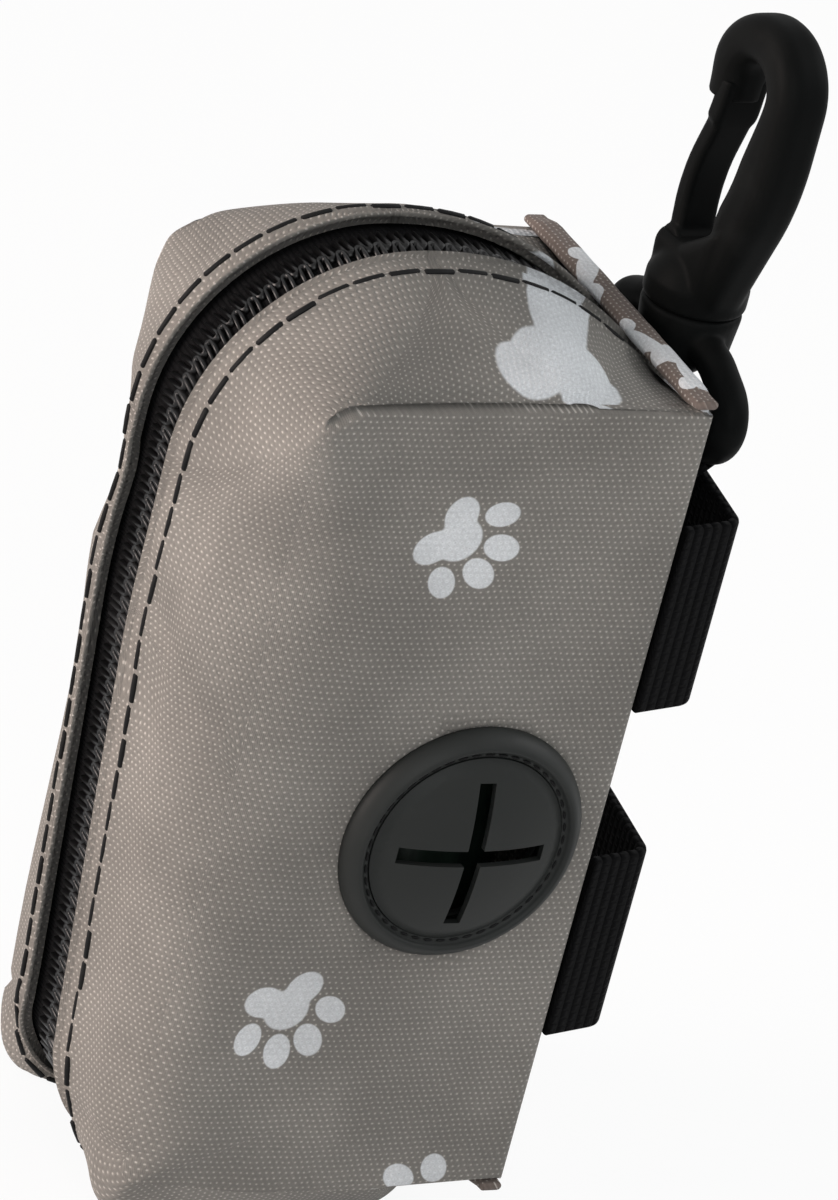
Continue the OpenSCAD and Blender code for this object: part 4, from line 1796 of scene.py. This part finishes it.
    def build_pull(self, metal: bpy.types.Material) -> bpy.types.Object:
        """Makes the pull: a bar through the bridge, two arms and a plate with a hole and raised bars.

        Args:
            metal: Finish of the slider.

        Returns:
            The piece, laid on its body.
        """
        wide, _, high, thick = self.bridge
        pivot = -(self.channel / 2 + self.slider_plate + (high - thick) / 2)
        place = Matrix.Translation((0, self.slider_y, self.tape_z + pivot))
        eye, eye_l = 0.45, 4.2
        arm = (self.pull_w - wide) / 2 - 0.4
        parts = [tube([Vector((x, 0, 0)) for x in (-self.pull_w / 2, 0, self.pull_w / 2)], eye, 14)]
        for sign in (1, -1):
            spot = Matrix.Translation((sign * (self.pull_w - arm) / 2, (eye_l + 0.5) / 2, 0))
            parts.append(block((arm, eye_l + 0.5, self.pull_t), 0.2, 2, spot))
        end, r = self.pull_l - self.pull_w / 2, self.pull_w / 2
        steps = 24
        rim, hole = [], []
        for n in range(steps):
            a = 2 * math.pi * n / steps
            d = Vector((math.sin(a), math.cos(a)))
            hole.append(Vector((0, end)) + d * r / 2)
            reach = r if d.y > -1e-6 else min(r / max(abs(d.x), 1e-6), (end - eye_l) / max(-d.y, 1e-6))
            rim.append(Vector((0, end)) + d * reach)
        rings = []
        for n in [*range(steps), 0]:
            out, inn = rim[n], hole[n]
            t, b = self.pull_t / 2, 0.18
            d = (inn - out).normalized() * b
            lower = ((out, -t + b), (out + d, -t), (inn - d, -t), (inn, -t + b))
            profile = lower + tuple((p, -z) for p, z in lower[::-1])
            rings.append([Vector((p.x, p.y, z)) for p, z in profile])
        plate = loft(rings, caps=False)
        bmesh.ops.remove_doubles(plate, verts=plate.verts, dist=WELD)
        bmesh.ops.recalc_face_normals(plate, faces=plate.faces)
        parts.append(plate)
        for n in range(3):
            y, z = eye_l + 1.6 + 1.3 * n, -self.pull_t / 2 + 0.05
            parts.append(tube([Vector((x, y, z)) for x in (-1.8, 0, 1.8)], 0.26, 10))
        bm = joined(parts)
        bmesh.ops.transform(bm, matrix=place, verts=bm.verts)
        made = piece_from(bm, "zip_pull_tab", [metal], smooth=False)
        return carried(made, "pull", "slider_metal", "zip_pull")


# ---- Outlet


@dataclass
class Outlet:
    """Rubber outlet: its ring, the washer behind it and the domed disc slit into four flaps."""

    shape: PouchShape
    y: float = 6.5
    z: float = 50.0
    rim_d: float = 27.5
    disc_d: float = 21.8
    proud: float = 2.3
    dome: float = 1.9
    skin: float = 0.8
    slit_l: float = 17.0
    slit_w: float = 1.9
    seam_gap: float = 0.05

    def place(self) -> Matrix:
        """Frame of the outlet: its third axis out of the side."""
        turn = Matrix.Rotation(math.radians(90), 4, "Y")
        return Matrix.Translation((self.shape.side_x, self.y, self.z)) @ turn

    def build_ring(self, rubber: bpy.types.Material) -> bpy.types.Object:
        """Makes the bevelled ring with the sewn groove round the disc.

        Args:
            rubber: Finish of the rubber.

        Returns:
            The piece, laid on its body.
        """
        r, rim, wall, top = self.disc_d / 2, self.rim_d / 2, self.shape.wall, self.proud
        profile = [
            (r + 0.05, 0), (r + 0.05, top - 1.0), (r + 0.12, top - 0.75), (r + 0.35, top - 0.72),
            (r + 0.62, top - 0.7), (r + 0.78, top - 0.35), (r + 0.95, top - 0.12), (r + 1.15, top),
            (rim - 1.6, top), (rim - 1.2, top - 0.14), (rim - 0.5, 0.6 * top), (rim - 0.12, 0.35 * top),
            (rim, 0.35), (rim, self.seam_gap), (r + 1, self.seam_gap), (r + 1, -wall - 0.05),
            (r - 0.6, -wall - 0.05), (r - 0.6, 0), (r + 0.05, 0),
        ]
        made = piece_from(lathe(profile, 120, self.place()), "outlet_rim", [rubber])
        return carried(made, "pouch", "outlet_rubber", "outlet_ring")

    def build_groove_stitches(self, thread: bpy.types.Material) -> bpy.types.Object:
        """Makes the ring of small stitches in the groove.

        Args:
            thread: Finish of the thread.

        Returns:
            The piece, laid on its body.
        """
        bm = bmesh.new()
        r, count = self.disc_d / 2 + 0.38, 46
        for n in range(count):
            turn = Matrix.Rotation(2 * math.pi * n / count, 4, "Z")
            spot = Matrix.Translation((r, 0, self.proud - 0.68)) @ Matrix.Diagonal((0.17, 0.6, 0.13, 1))
            add_bead(bm, self.place() @ turn @ spot)
        return carried(piece_from(bm, "outlet_stitching", [thread]), "pouch", "outlet_rubber")

    def build_washer(self, rubber: bpy.types.Material) -> bpy.types.Object:
        """Makes the washer inside the pouch.

        Args:
            rubber: Finish of the rubber.

        Returns:
            The piece, laid on its body.
        """
        r, rim, wall = self.disc_d / 2 - 0.6, (self.rim_d - 1.4) / 2, self.shape.wall
        low = -2 * wall - 2 * self.seam_gap
        bm = lathe(hollow(r, rim, low, low + wall, 0.25), 96, self.place())
        made = piece_from(bm, "outlet_washer", [rubber])
        return carried(made, "pouch", "outlet_rubber", "outlet_backing")

    def height(self, x: float, y: float) -> float:
        """Height of the disc's outer face over the side's face.

        Args:
            x: First coordinate, from the middle.
            y: Second coordinate, from the middle.

        Returns:
            The height over the side.
        """
        r = self.disc_d / 2
        share = clamp(math.hypot(x, y) / r)
        return self.proud - 0.3 + self.dome * (1 - share * share) - 0.35 * ease((share - 0.9) / 0.1)

    def build_quarter(self, turn: int, rubber: bpy.types.Material) -> bpy.types.Object:
        """Makes one quarter of the disc.

        Args:
            turn: Quarter turns from the first one.
            rubber: Its finish.

        Returns:
            The piece.
        """
        r, s, w = self.disc_d / 2, self.slit_l / 2, self.slit_w / 2
        arc = [Vector((math.sin(a), math.cos(a))) * r for a in (math.pi / 2 * n / 24 for n in range(25))]
        outline = [Vector((0, s)), Vector((w, s)), Vector((w, w)), Vector((s, w)), Vector((s, 0)), *arc[::-1]]
        bm = bmesh.new()
        bm.faces.new([bm.verts.new((p.x, p.y, 0)) for p in outline])
        step = 0.8
        for axis in (Vector((1, 0, 0)), Vector((0, 1, 0)), Vector((1, 1, 0)).normalized()):
            for n in range(1, int(r / step) + 4):
                geom = bm.verts[:] + bm.edges[:] + bm.faces[:]
                bmesh.ops.bisect_plane(bm, geom=geom, plane_co=axis * (n * step), plane_no=axis)
        bmesh.ops.remove_doubles(bm, verts=bm.verts, dist=WELD)
        bmesh.ops.recalc_face_normals(bm, faces=bm.faces)
        if sum(f.normal.z for f in bm.faces) < 0:
            bmesh.ops.reverse_faces(bm, faces=bm.faces)
        made = bmesh.ops.extrude_face_region(bm, geom=bm.faces[:])
        top = {g for g in made["geom"] if isinstance(g, bmesh.types.BMVert)}
        for v in bm.verts:
            v.co.z = self.height(v.co.x, v.co.y) + (0 if v in top else -self.skin)
        bmesh.ops.recalc_face_normals(bm, faces=bm.faces)
        place = self.place() @ Matrix.Rotation(math.pi / 2 * turn, 4, "Z")
        bmesh.ops.transform(bm, matrix=place, verts=bm.verts)
        letter = "abcd"[turn]
        quarter = piece_from(bm, f"outlet_quarter_{letter}", [rubber])
        keen = quarter.modifiers.new("keen", "EDGE_SPLIT")
        keen.split_angle = math.radians(50)
        settle(quarter)
        hinge = (self.slit_l + self.slit_w) / 2 / math.sqrt(2)
        out = place.to_3x3() @ Vector((1, 1, 0)).normalized()
        centre = Vector((self.shape.side_x + self.proud, self.y, self.z))
        start, end = (centre + out * (hinge + 0.5)) * MM, (centre + out * (hinge - 1.0)) * MM
        tuple(start)
        tuple(end)
        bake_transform(quarter)
        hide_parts(f"outlet_flap_{letter}")
        if turn == 0:
            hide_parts("outlet_membrane")
        return quarter


# ---- Webbing


@dataclass
class Webbing:
    """Straps of the back: two belt loops and the tab that holds the ring."""

    shape: PouchShape
    width: float = 22.0
    tab_w: float = 20.0
    thick: float = 1.2
    low_h: float = 18.5
    high_h: float = 58.4
    side_stand: float = 7.3
    mid_stand: float = 9.6
    bar_h: float = 84.5
    bar_off: float = 6.9
    bar_r: float = 2.0

    def strap(self, path: Sequence[Vector], axis: Vector, width: float) -> bmesh.types.BMesh:
        """Lays a strap along a path.

        Args:
            path: Points of its middle.
            axis: Direction across the strap.
            width: Its width.

        Returns:
            The shape, in millimetres.
        """
        rings = []
        for k, p in enumerate(path):
            d = (path[min(k + 1, len(path) - 1)] - path[max(k - 1, 0)]).normalized()
            up = axis.cross(d).normalized()
            rings.append([p + axis * a + up * b for a, b in section(width, self.thick, 0.5, 3)])
        return loft(rings)

    def build_loop(self, name: str, height: float, node: str, web: bpy.types.Material) -> bpy.types.Object:
        """Makes one belt loop.

        Args:
            name: Name of the piece.
            height: Its lower edge over the lower seam.
            node: The node that it stands for.
            web: Finish of the webbing.

        Returns:
            The piece, laid on its body.
        """
        x = self.shape.side_x
        ends, bend = x - 0.6, x - 2.2
        corners = ((-ends, 0.2), (-bend, self.side_stand, 2), (0, self.mid_stand, 60))
        line = rounded((*corners, (bend, self.side_stand, 2), (ends, 0.2)), 10, 12)
        middle = self.shape.low_seam + height + self.width / 2
        path = [Vector((p.x, self.shape.back_y + p.y, middle)) for p in line]
        made = piece_from(self.strap(path, Vector((0, 0, 1)), self.width), name, [web])
        return carried(made, "pouch", "webbing", node)

    def build_tab(self, web: bpy.types.Material) -> bpy.types.Object:
        """Makes the tab: both layers sewn to the back, and the bend round the ring's bar.

        Args:
            web: Finish of the webbing.

        Returns:
            The piece, laid on its body.
        """
        bar = Vector((self.shape.back_y + self.bar_off, self.shape.low_seam + self.bar_h))
        low, top = bar.y - 22, bar.y - 8
        y1 = self.shape.back_y + 0.05 + self.thick / 2
        y2 = y1 + self.thick + 0.02
        r = self.bar_r + 0.08 + self.thick / 2
        lean = (bar - Vector((y1 + self.thick / 2, top))).normalized()
        side = Vector((-lean.y, lean.x))
        turns = [math.radians(200 * n / 24 - 100) for n in range(25)]
        around = [bar + (lean * math.cos(a) - side * math.sin(a)) * r for a in turns]
        line = [Vector((y1, low + (top - low) * n / 10)) for n in range(11)]
        line += [Vector((y1, top)).lerp(around[0], n / 5) for n in range(1, 5)]
        line += around
        line += [around[-1].lerp(Vector((y2, top)), n / 5) for n in range(1, 5)]
        line += [Vector((y2, top - (top - low) * n / 10)) for n in range(11)]
        path = [Vector((0, p.x, p.y)) for p in line]
        made = piece_from(self.strap(path, Vector((1, 0, 0)), self.tab_w), "ring_tab", [web])
        return carried(made, "pouch", "webbing", "hook_tab")

    def build_bar_tacks(self, thread: bpy.types.Material) -> bpy.types.Object:
        """Makes the box of stitches through the tab's two layers.

        Args:
            thread: Finish of the thread.

        Returns:
            The piece, laid on its body.
        """
        bm = bmesh.new()
        y = self.shape.back_y + 0.1 + 2 * self.thick
        low, top = self.shape.low_seam + self.bar_h - 20.6, self.shape.low_seam + self.bar_h - 9.4
        half = self.tab_w / 2 - 1.6
        corners = [Vector((-half, low)), Vector((half, low)), Vector((half, top)), Vector((-half, top))]
        runs = [*zip(corners, corners[1:] + corners[:1]), (corners[0], corners[2]), (corners[1], corners[3])]
        for a, b in runs:
            count = round((b - a).length / 2.6)
            d = (b - a).normalized()
            for n in range(count):
                mid = a.lerp(b, (n + 0.5) / count)
                frame = Matrix(((d.x, 0, -d.y), (0, 1, 0), (d.y, 0, d.x))).to_4x4()
                size = Matrix.Diagonal(((b - a).length / count * 0.44, 0.22, 0.24, 1))
                add_bead(bm, Matrix.Translation((mid.x, y, mid.y)) @ frame @ size)
        bmesh.ops.recalc_face_normals(bm, faces=bm.faces)
        return carried(piece_from(bm, "tab_stitching", [thread]), "pouch", "webbing")


# ---- Swivel hook


@dataclass
class SwivelHook:
    """Moulded swivel ring, hook and gate."""

    shape: PouchShape
    bar_y: float = 30.1
    bar_z: float = 91.0
    bar_r: float = 2.0
    ring_w: float = 30.4
    swivel_h: float = 11.6
    socket_r: float = 5.0
    socket_h: float = 5.6
    stem_r: float = 2.5
    collar_r: float = 5.6
    collar_h: float = 3.6
    bow_h: float = 33.6
    bow_w: float = 15.8
    bow_bar: float = 5.2
    bow_t: float = 6.2
    gate_t: float = 2.2
    gate_turn: float = 175.0

    def __post_init__(self) -> None:
        """Works out the places that follow from the sizes."""
        self.socket_z = self.bar_z + self.swivel_h - self.socket_h
        self.collar_z = self.bar_z + self.swivel_h + 0.15
        self.back_u = -self.bow_w * 0.68
        self.front_u = self.bow_w + self.back_u
        self.turn_r = (self.bow_w - self.bow_bar) / 2 - 0.2
        self.gate_u = self.collar_r - 2.3
        self.gate_z = self.collar_h + 1.8
        self.nose_z = self.bow_h - 11.4

    def at_hook(self) -> Matrix:
        """Frame of the hook: its origin at the collar's lower face and its x towards the gate."""
        turn = Matrix.Rotation(math.radians(-self.gate_turn), 4, "Z")
        return Matrix.Translation((0, self.bar_y, self.collar_z)) @ turn

    def build_ring(self, plastic: bpy.types.Material) -> bpy.types.Object:
        """Makes the ring with its bar and the socket of the swivel.

        Args:
            plastic: Finish of the hook.

        Returns:
            The piece, laid on its body.
        """
        half, low, z = self.ring_w / 2 - self.bar_r, self.bar_z, self.socket_z
        corners = (
            (0, low), (half, low, 3.5), (half, low + 5.6, 3.6),
            (half - 5.4, low + 8, 6), (3.4, z + 2.8),
        )
        line = rounded(corners, 7, 3)
        parts = [tube([Vector((sign * p.x, 0, p.y)) for p in line], self.bar_r) for sign in (1, -1)]
        inner, top = self.stem_r + 0.1, z + self.socket_h
        profile = [
            (inner, z), (self.socket_r - 0.3, z), (self.socket_r, z + 0.4), (self.collar_r - 0.1, top - 0.4),
            (self.collar_r - 0.35, top), (inner, top), (inner, z),
        ]
        parts.append(lathe(profile, 48, Matrix.Identity(4)))
        bm = joined(parts)
        bmesh.ops.transform(bm, matrix=Matrix.Translation((0, self.bar_y, 0)), verts=bm.verts)
        made = moulded(piece_from(bm, "swivel_ring", [plastic]), 0.3, 7)
        return carried(made, "ring", "hook_plastic", "swivel_base")

    def bow(self) -> bmesh.types.BMesh:
        """Bar of the hook from its root over the top to the nose.

        Returns:
            The shape, in the hook's own frame.
        """
        back, front = self.back_u + self.bow_bar / 2, self.front_u - self.bow_bar / 2
        crown = self.bow_h - self.bow_bar / 2
        corners = ((-2.8, 1.5), (back, 16, 26), (back, crown, self.turn_r), (front, crown, self.turn_r))
        line = rounded((*corners, (front, self.nose_z + 0.4)), 14, 6)
        run = lengths(line)
        rings = []
        for p, n, s in zip(line, left_of(line), run):
            slim = 1 - 0.10 * ease(1 - (run[-1] - s) / 6)
            on_back = p.x < self.back_u + self.bow_bar
            full = 1.3 * ease((p.y - 6) / 6) * ease((self.bow_h - 7 - p.y) / 9) if on_back else 0.0
            ring = []
            for a, b in section(self.bow_bar * slim + full, self.bow_t * slim, 2.1, 4):
                out = a - full / 2
                ring.append(Vector((p.x + n.x * out, b, p.y + n.y * out)))
            rings.append(ring)
        return loft(rings)

    def build_hook(self, plastic: bpy.types.Material) -> bpy.types.Object:
        """Makes the hook with its collar, root block and stem.

        Args:
            plastic: Finish of the hook.

        Returns:
            The piece, laid on its body.
        """
        r, h, z = self.collar_r, self.collar_h, self.gate_z
        root = [
            (-4.9, h - 1.6), (r - 0.7, h - 1.6), (r - 0.35, z - 0.4), (self.gate_u + 1.5, z + 0.9),
            (0.6, z + 1.0), (-2.6, z + 3.4), (-6, z + 6),
        ]
        collar = [
            (0, 0), (r - 0.3, 0), (r, 0.3), (r, h - 1.1), (r - 0.15, h - 0.8), (r - 0.5, h - 0.1),
            (r - 1.1, h + 0.8), (r - 2.4, h + 2.2), (0, h + 2.4),
        ]
        low = -self.socket_h - 2.3
        stem = [
            (0, low), (self.stem_r - 0.4, low), (self.socket_r - 0.9, low + 2), (self.stem_r, low + 2.02),
            (self.stem_r, 0.5), (0, 0.5),
        ]
        turned = [lathe(profile, steps, Matrix.Identity(4)) for profile, steps in ((collar, 64), (stem, 40))]
        bm = joined([self.bow(), prism(root, self.bow_t + 1, 1.2), *turned])
        bmesh.ops.transform(bm, matrix=self.at_hook(), verts=bm.verts)
        made = moulded(piece_from(bm, "hook_body", [plastic]), 0.28, 6)
        return carried(made, "hook", "hook_plastic", "snap_hook")

    def build_gate(self, plastic: bpy.types.Material) -> bpy.types.Object:
        """Makes the gate: a springy tongue with a rimmed thumb recess at its foot.

        Args:
            plastic: Finish of the hook.

        Returns:
            The piece, laid on its body.
        """
        corners = (
            (self.gate_u, self.gate_z), (self.gate_u + 0.9, self.gate_z + 7, 20),
            (self.front_u - 3.4, self.nose_z - 1.4, 12), (self.front_u - 3.7, self.nose_z + 2.8),
        )
        line = rounded(corners, 10, 5)
        run = lengths(line)
        rings = []
        wide = self.bow_t - 0.8
        for p, n, s in zip(line, left_of(line), run):
            u = s / run[-1]
            dip = 0.55 * ease(u / 0.08) * ease((0.62 - u) / 0.2)
            half = wide / 2 * (0.86 + 0.14 * ease((u - 0.72) / 0.05))
            ring = []
            for a, b in section(self.gate_t, 2 * half, 0.6, 3):
                face = dip * ease((half - 0.75 - abs(b)) / 0.5) if a < 0 else 0.0
                ring.append(Vector((p.x + n.x * (a + face), b, p.y + n.y * (a + face))))
            rings.append(ring)
        r, half, b = 1.7, wide / 2, 0.3
        profile = [(0, -half), (r - 0.2, -half), (r, b - half), (r, half - b), (r - 0.2, half), (0, half)]
        flat = Matrix.Rotation(math.radians(90), 4, "X")
        root = lathe(profile, 28, Matrix.Translation((self.gate_u, 0, self.gate_z)) @ flat)
        bm = joined([loft(rings), root])
        bmesh.ops.transform(bm, matrix=self.at_hook(), verts=bm.verts)
        made = moulded(piece_from(bm, "gate_tongue", [plastic]), 0.22, 3)
        return carried(made, "gate", "hook_plastic", "hook_gate")


# ---- Roll


@dataclass
class BagRoll:
    """Roll of bags on its cardboard core."""

    shape: PouchShape
    roll_d: float = 30.0
    roll_l: float = 62.0
    core_d: float = 15.0
    core_wall: float = 1.0
    layers: int = 14

    def place(self) -> Matrix:
        """Frame of the roll: its lower end on the ledge over the zip.

        Returns:
            The frame.
        """
        y = self.shape.in_y - self.shape.gap - self.roll_d / 2
        z = self.shape.zip_lift + self.shape.end_lift + self.shape.wall + 0.05 + 0.7 + self.shape.gap
        return Matrix.Translation((0, y, z))

    def build(self, film: bpy.types.Material, card: bpy.types.Material) -> list[bpy.types.Object]:
        """Makes the wound film, whose ends show its layers, and the core.

        Args:
            film: Finish of the bags.
            card: Finish of the core.

        Returns:
            Both pieces, laid on their body.
        """
        r, inner, tall = self.roll_d / 2, self.core_d / 2 + 0.05, self.roll_l
        end = [(inner, 0.0)]
        for n in range(self.layers):
            end.append((inner + (r - inner) * (n + 0.5) / self.layers, 0.22 if n % 2 else 0.0))
        end.append((r, 0.3))
        profile = end + [(a, tall - z) for a, z in end[::-1]] + end[:1]
        roll = piece_from(lathe(profile, 96, self.place()), "wound_bags", [film])
        out = self.core_d / 2
        tube_profile = hollow(out - self.core_wall, out, 0, tall, 0.15)
        core = piece_from(lathe(tube_profile, 72, self.place()), "card_core", [card])
        carried(roll, "roll", "bag_film", "bag_roll")
        carried(core, "roll", "core_card", "roll_core")
        return [roll, core]


# ---- Studio


@dataclass(frozen=True)
class Studio:
    """Camera, floor and soft light."""

    azimuth: float = 59.104
    elevation: float = 26.445
    roll: float = -14.668
    distance: float = 800.8
    scale: float = 9.487
    anchor: tuple[float, float, float] = (0.0, 0.0, 54.0)
    anchor_px: Point = (332.032, 703.409)
    frame_px: Point = (838.0, 1200.0)
    lamp_size: float = 0.5

    def build_camera(self) -> None:
        """Sets the camera where the photograph was taken from."""
        a, e, r = (math.radians(v) for v in (self.azimuth, self.elevation, self.roll))
        back = Vector((math.sin(a) * math.cos(e), -math.cos(a) * math.cos(e), math.sin(e)))
        level = Vector((0, 0, 1)).cross(back).normalized()
        above = back.cross(level)
        right = level * math.cos(r) - above * math.sin(r)
        up = level * math.sin(r) + above * math.cos(r)
        off_x = (self.frame_px[0] / 2 - self.anchor_px[0]) / self.scale
        off_y = (self.anchor_px[1] - self.frame_px[1] / 2) / self.scale
        target = Vector(self.anchor) + right * off_x + up * off_y
        data = bpy.data.cameras.new("camera")
        data.sensor_width = 36.0
        data.lens = 36.0 * self.distance / (self.frame_px[1] / self.scale)
        data.clip_start, data.clip_end = 0.05, 20.0
        made = bpy.data.objects.new("camera", data)
        turn = Matrix((right, up, back)).transposed().to_4x4()
        made.matrix_world = Matrix.Translation((target + back * self.distance) * MM) @ turn
        bpy.context.scene.collection.objects.link(made)
        bpy.context.scene.camera = made

    def lamp(self, name: str, place: Sequence[float], power: float, colour: Sequence[float]) -> None:
        """Adds a soft lamp that faces the object.

        Args:
            name: Its name.
            place: Where it stands, in metres.
            power: Its power, in watts.
            colour: Its colour.
        """
        data = bpy.data.lights.new(name, "AREA")
        data.shape = "DISK"
        data.size, data.energy, data.color = self.lamp_size, power, colour
        made = bpy.data.objects.new(name, data)
        spot = Vector(place)
        aim = (Vector((0, 0, 0.06)) - spot).normalized()
        made.matrix_world = Matrix.Translation(spot) @ aim.to_track_quat("-Z", "Y").to_matrix().to_4x4()
        bpy.context.scene.collection.objects.link(made)

    def build_floor(self) -> None:
        """Lays the pale floor, which stays white to the camera and keeps the shadow."""
        bm = bmesh.new()
        bmesh.ops.create_grid(bm, x_segments=8, y_segments=8, size=3000)
        bmesh.ops.translate(bm, vec=(0, 0, -0.02), verts=bm.verts)
        material = bpy.data.materials.new("pale_floor")
        material.use_nodes = True
        kit = Kit(material.node_tree)
        kit.tree.nodes.clear()
        plain = kit.add("BsdfDiffuse")
        plain.inputs[0].default_value = (0.92, 0.92, 0.92, 1)
        white = kit.add("Emission")
        kit.end("OutputMaterial", kit.math("MULTIPLY", kit.seen(), 0.92), plain, white)
        floor = piece_from(bm, "floor", [material], smooth=False)

    def build_world(self) -> None:
        """Makes the even surround, white where the camera or a reflection sees it."""
        world = bpy.data.worlds.new("surround")
        world.use_nodes = True
        bpy.context.scene.world = world
        kit = Kit(world.node_tree)
        kit.tree.nodes.clear()
        soft, white = kit.add("Background"), kit.add("Background")
        soft.inputs[0].default_value = (0.96, 0.98, 1.0, 1)
        soft.inputs[1].default_value = 0.32
        white.inputs[1].default_value = 1.0
        white.inputs[0].default_value = (1, 1, 1, 1)
        kit.end("OutputWorld", kit.seen(), soft, white)

    def build(self) -> None:
        """Sets up the whole studio."""
        self.build_camera()
        self.build_floor()
        self.build_world()
        self.lamp("key", (-0.12, -0.78, 0.26), 8.6, (1.0, 0.86, 0.8))
        self.lamp("fill", (0.72, -0.25, 0.5), 2.0, (0.98, 1.0, 1.0))
        self.lamp("rim", (0.1, 0.7, 0.55), 2.6, (1.0, 1.0, 1.0))
        bpy.context.scene.view_settings.view_transform = "Standard"


def main() -> None:
    """Builds every piece and reports it."""
    logging.basicConfig(level=logging.INFO, format="%(name)s: %(message)s")
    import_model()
    Studio().build()
    groups = Groups(weave_group(), grain_group(), paw_group(), bone_group())
    shape = PouchShape()
    right_prints = (
        Print(Motif.PAW, (20.2, 85.0), -120.0, 12.5),
        Print(Motif.PAW, (15.8, 28.0), 203.0, 12.5),
        Print(Motif.BONE, (-17.0, 133.0), -14.0, 30.0),
        Print(Motif.PAW, (36.5, 4.5), 60.0, 12.5),
    )
    fabric_right = PrintedFabric("printed_fabric_right", right_prints).build(groups)
    left_prints = (
        Print(Motif.PAW, (20.0, 80.0), 150.0, 12.5),
        Print(Motif.BONE, (27.0, 52.0), 64.0, 26.0),
        Print(Motif.PAW, (14.0, 26.0), 20.0, 12.5),
        Print(Motif.BONE, (2.0, 86.0), 75.0, 26.0),
        Print(Motif.BONE, (-6.0, 138.0), 20.0, 26.0),
    )
    fabric_left = PrintedFabric("printed_fabric_left", left_prints).build(groups)
    back_prints = (
        Print(Motif.PAW, (-13.0, 52.0), 35.0, 12.5),
        Print(Motif.BONE, (12.0, 14.0), 25.0, 24.0),
        Print(Motif.BONE, (13.0, 95.0), 70.0, 24.0),
    )
    fabric_back = PrintedFabric("printed_fabric_back", back_prints).build(groups)
    trim_prints = (
        Print(Motif.BONE, (8.0, -1.8), 24.0, 9.0),
        Print(Motif.BONE, (15.0, 0.2), -10.0, 7.0),
        Print(Motif.BONE, (-7.0, -1.2), -35.0, 10.0),
    )
    fabric_trim = PrintedFabric("printed_fabric_binding", trim_prints, rgb(112, 101, 95)).build(groups)
    tape = WovenBlack("woven_tape", 0.55, 0.1, rgb(9, 9, 10), rgb(22, 22, 23)).build()
    web = WovenBlack("ribbed_webbing", 1.25, 0.4, rgb(6, 6, 7), rgb(17, 17, 18)).build()
    nylon, thread, metal, rubber, plastic = (
        finish.build(groups)
        for finish in (
            Moulded("black_nylon", rgb(9, 9, 10), rgb(20, 20, 21), 0.3, 1400.0, 0.01, 0.28),
            Moulded("black_thread", rgb(10, 10, 11), rgb(24, 24, 24), 0.6, 2600.0, 0.05, 0.15),
            Moulded("black_lacquer", rgb(13, 13, 14), rgb(28, 28, 29), 0.3, 700.0, 0.006, 0.3),
            Moulded("satin_rubber", rgb(34, 36, 35), rgb(40, 42, 41), 0.5, 1600.0, 0.012, 0.18),
            Moulded("satin_plastic", rgb(13, 14, 14), rgb(20, 21, 21), 0.52, 1100.0, 0.012, 0.03),
        )
    )
    film, card = RolledFilm().build(), Card().build()
    made: list[bpy.types.Object] = []
    for side, fabric in ((Side.RIGHT, fabric_right), (Side.LEFT, fabric_left)):
        shell = Shell(shape, side, fabric, crease_round=15.0 if side is Side.RIGHT else 21.5)
        made += [shell.build(), shell.stitches(thread)]
    back = BackPanel(shape, fabric_back, fabric_trim)
    made += [back.build_panel(), back.build_binding()]
    zipper = Zip(shape)
    for side in Side:
        made += [zipper.build_tape(side, tape), zipper.build_teeth(side, nylon)]
    made += [zipper.build_stops(nylon), zipper.build_slider(metal), zipper.build_pull(metal)]
    outlet = Outlet(shape)
    made += [outlet.build_ring(rubber), outlet.build_groove_stitches(thread), outlet.build_washer(rubber)]
    made += [outlet.build_quarter(turn, rubber) for turn in range(4)]
    webbing = Webbing(shape)
    made += [
        webbing.build_loop("belt_strap_high", webbing.high_h, "upper_belt_loop", web),
        webbing.build_loop("belt_strap_low", webbing.low_h, "lower_belt_loop", web),
        webbing.build_tab(web),
        webbing.build_bar_tacks(thread),
    ]
    hook = SwivelHook(shape)
    made += [hook.build_ring(plastic), hook.build_hook(plastic), hook.build_gate(plastic)]
    made += BagRoll(shape).build(film, card)
    for one in made:
        LOG.info("%s: %d faces", one.name, len(one.data.polygons))


if __name__ == "__main__":
    main()
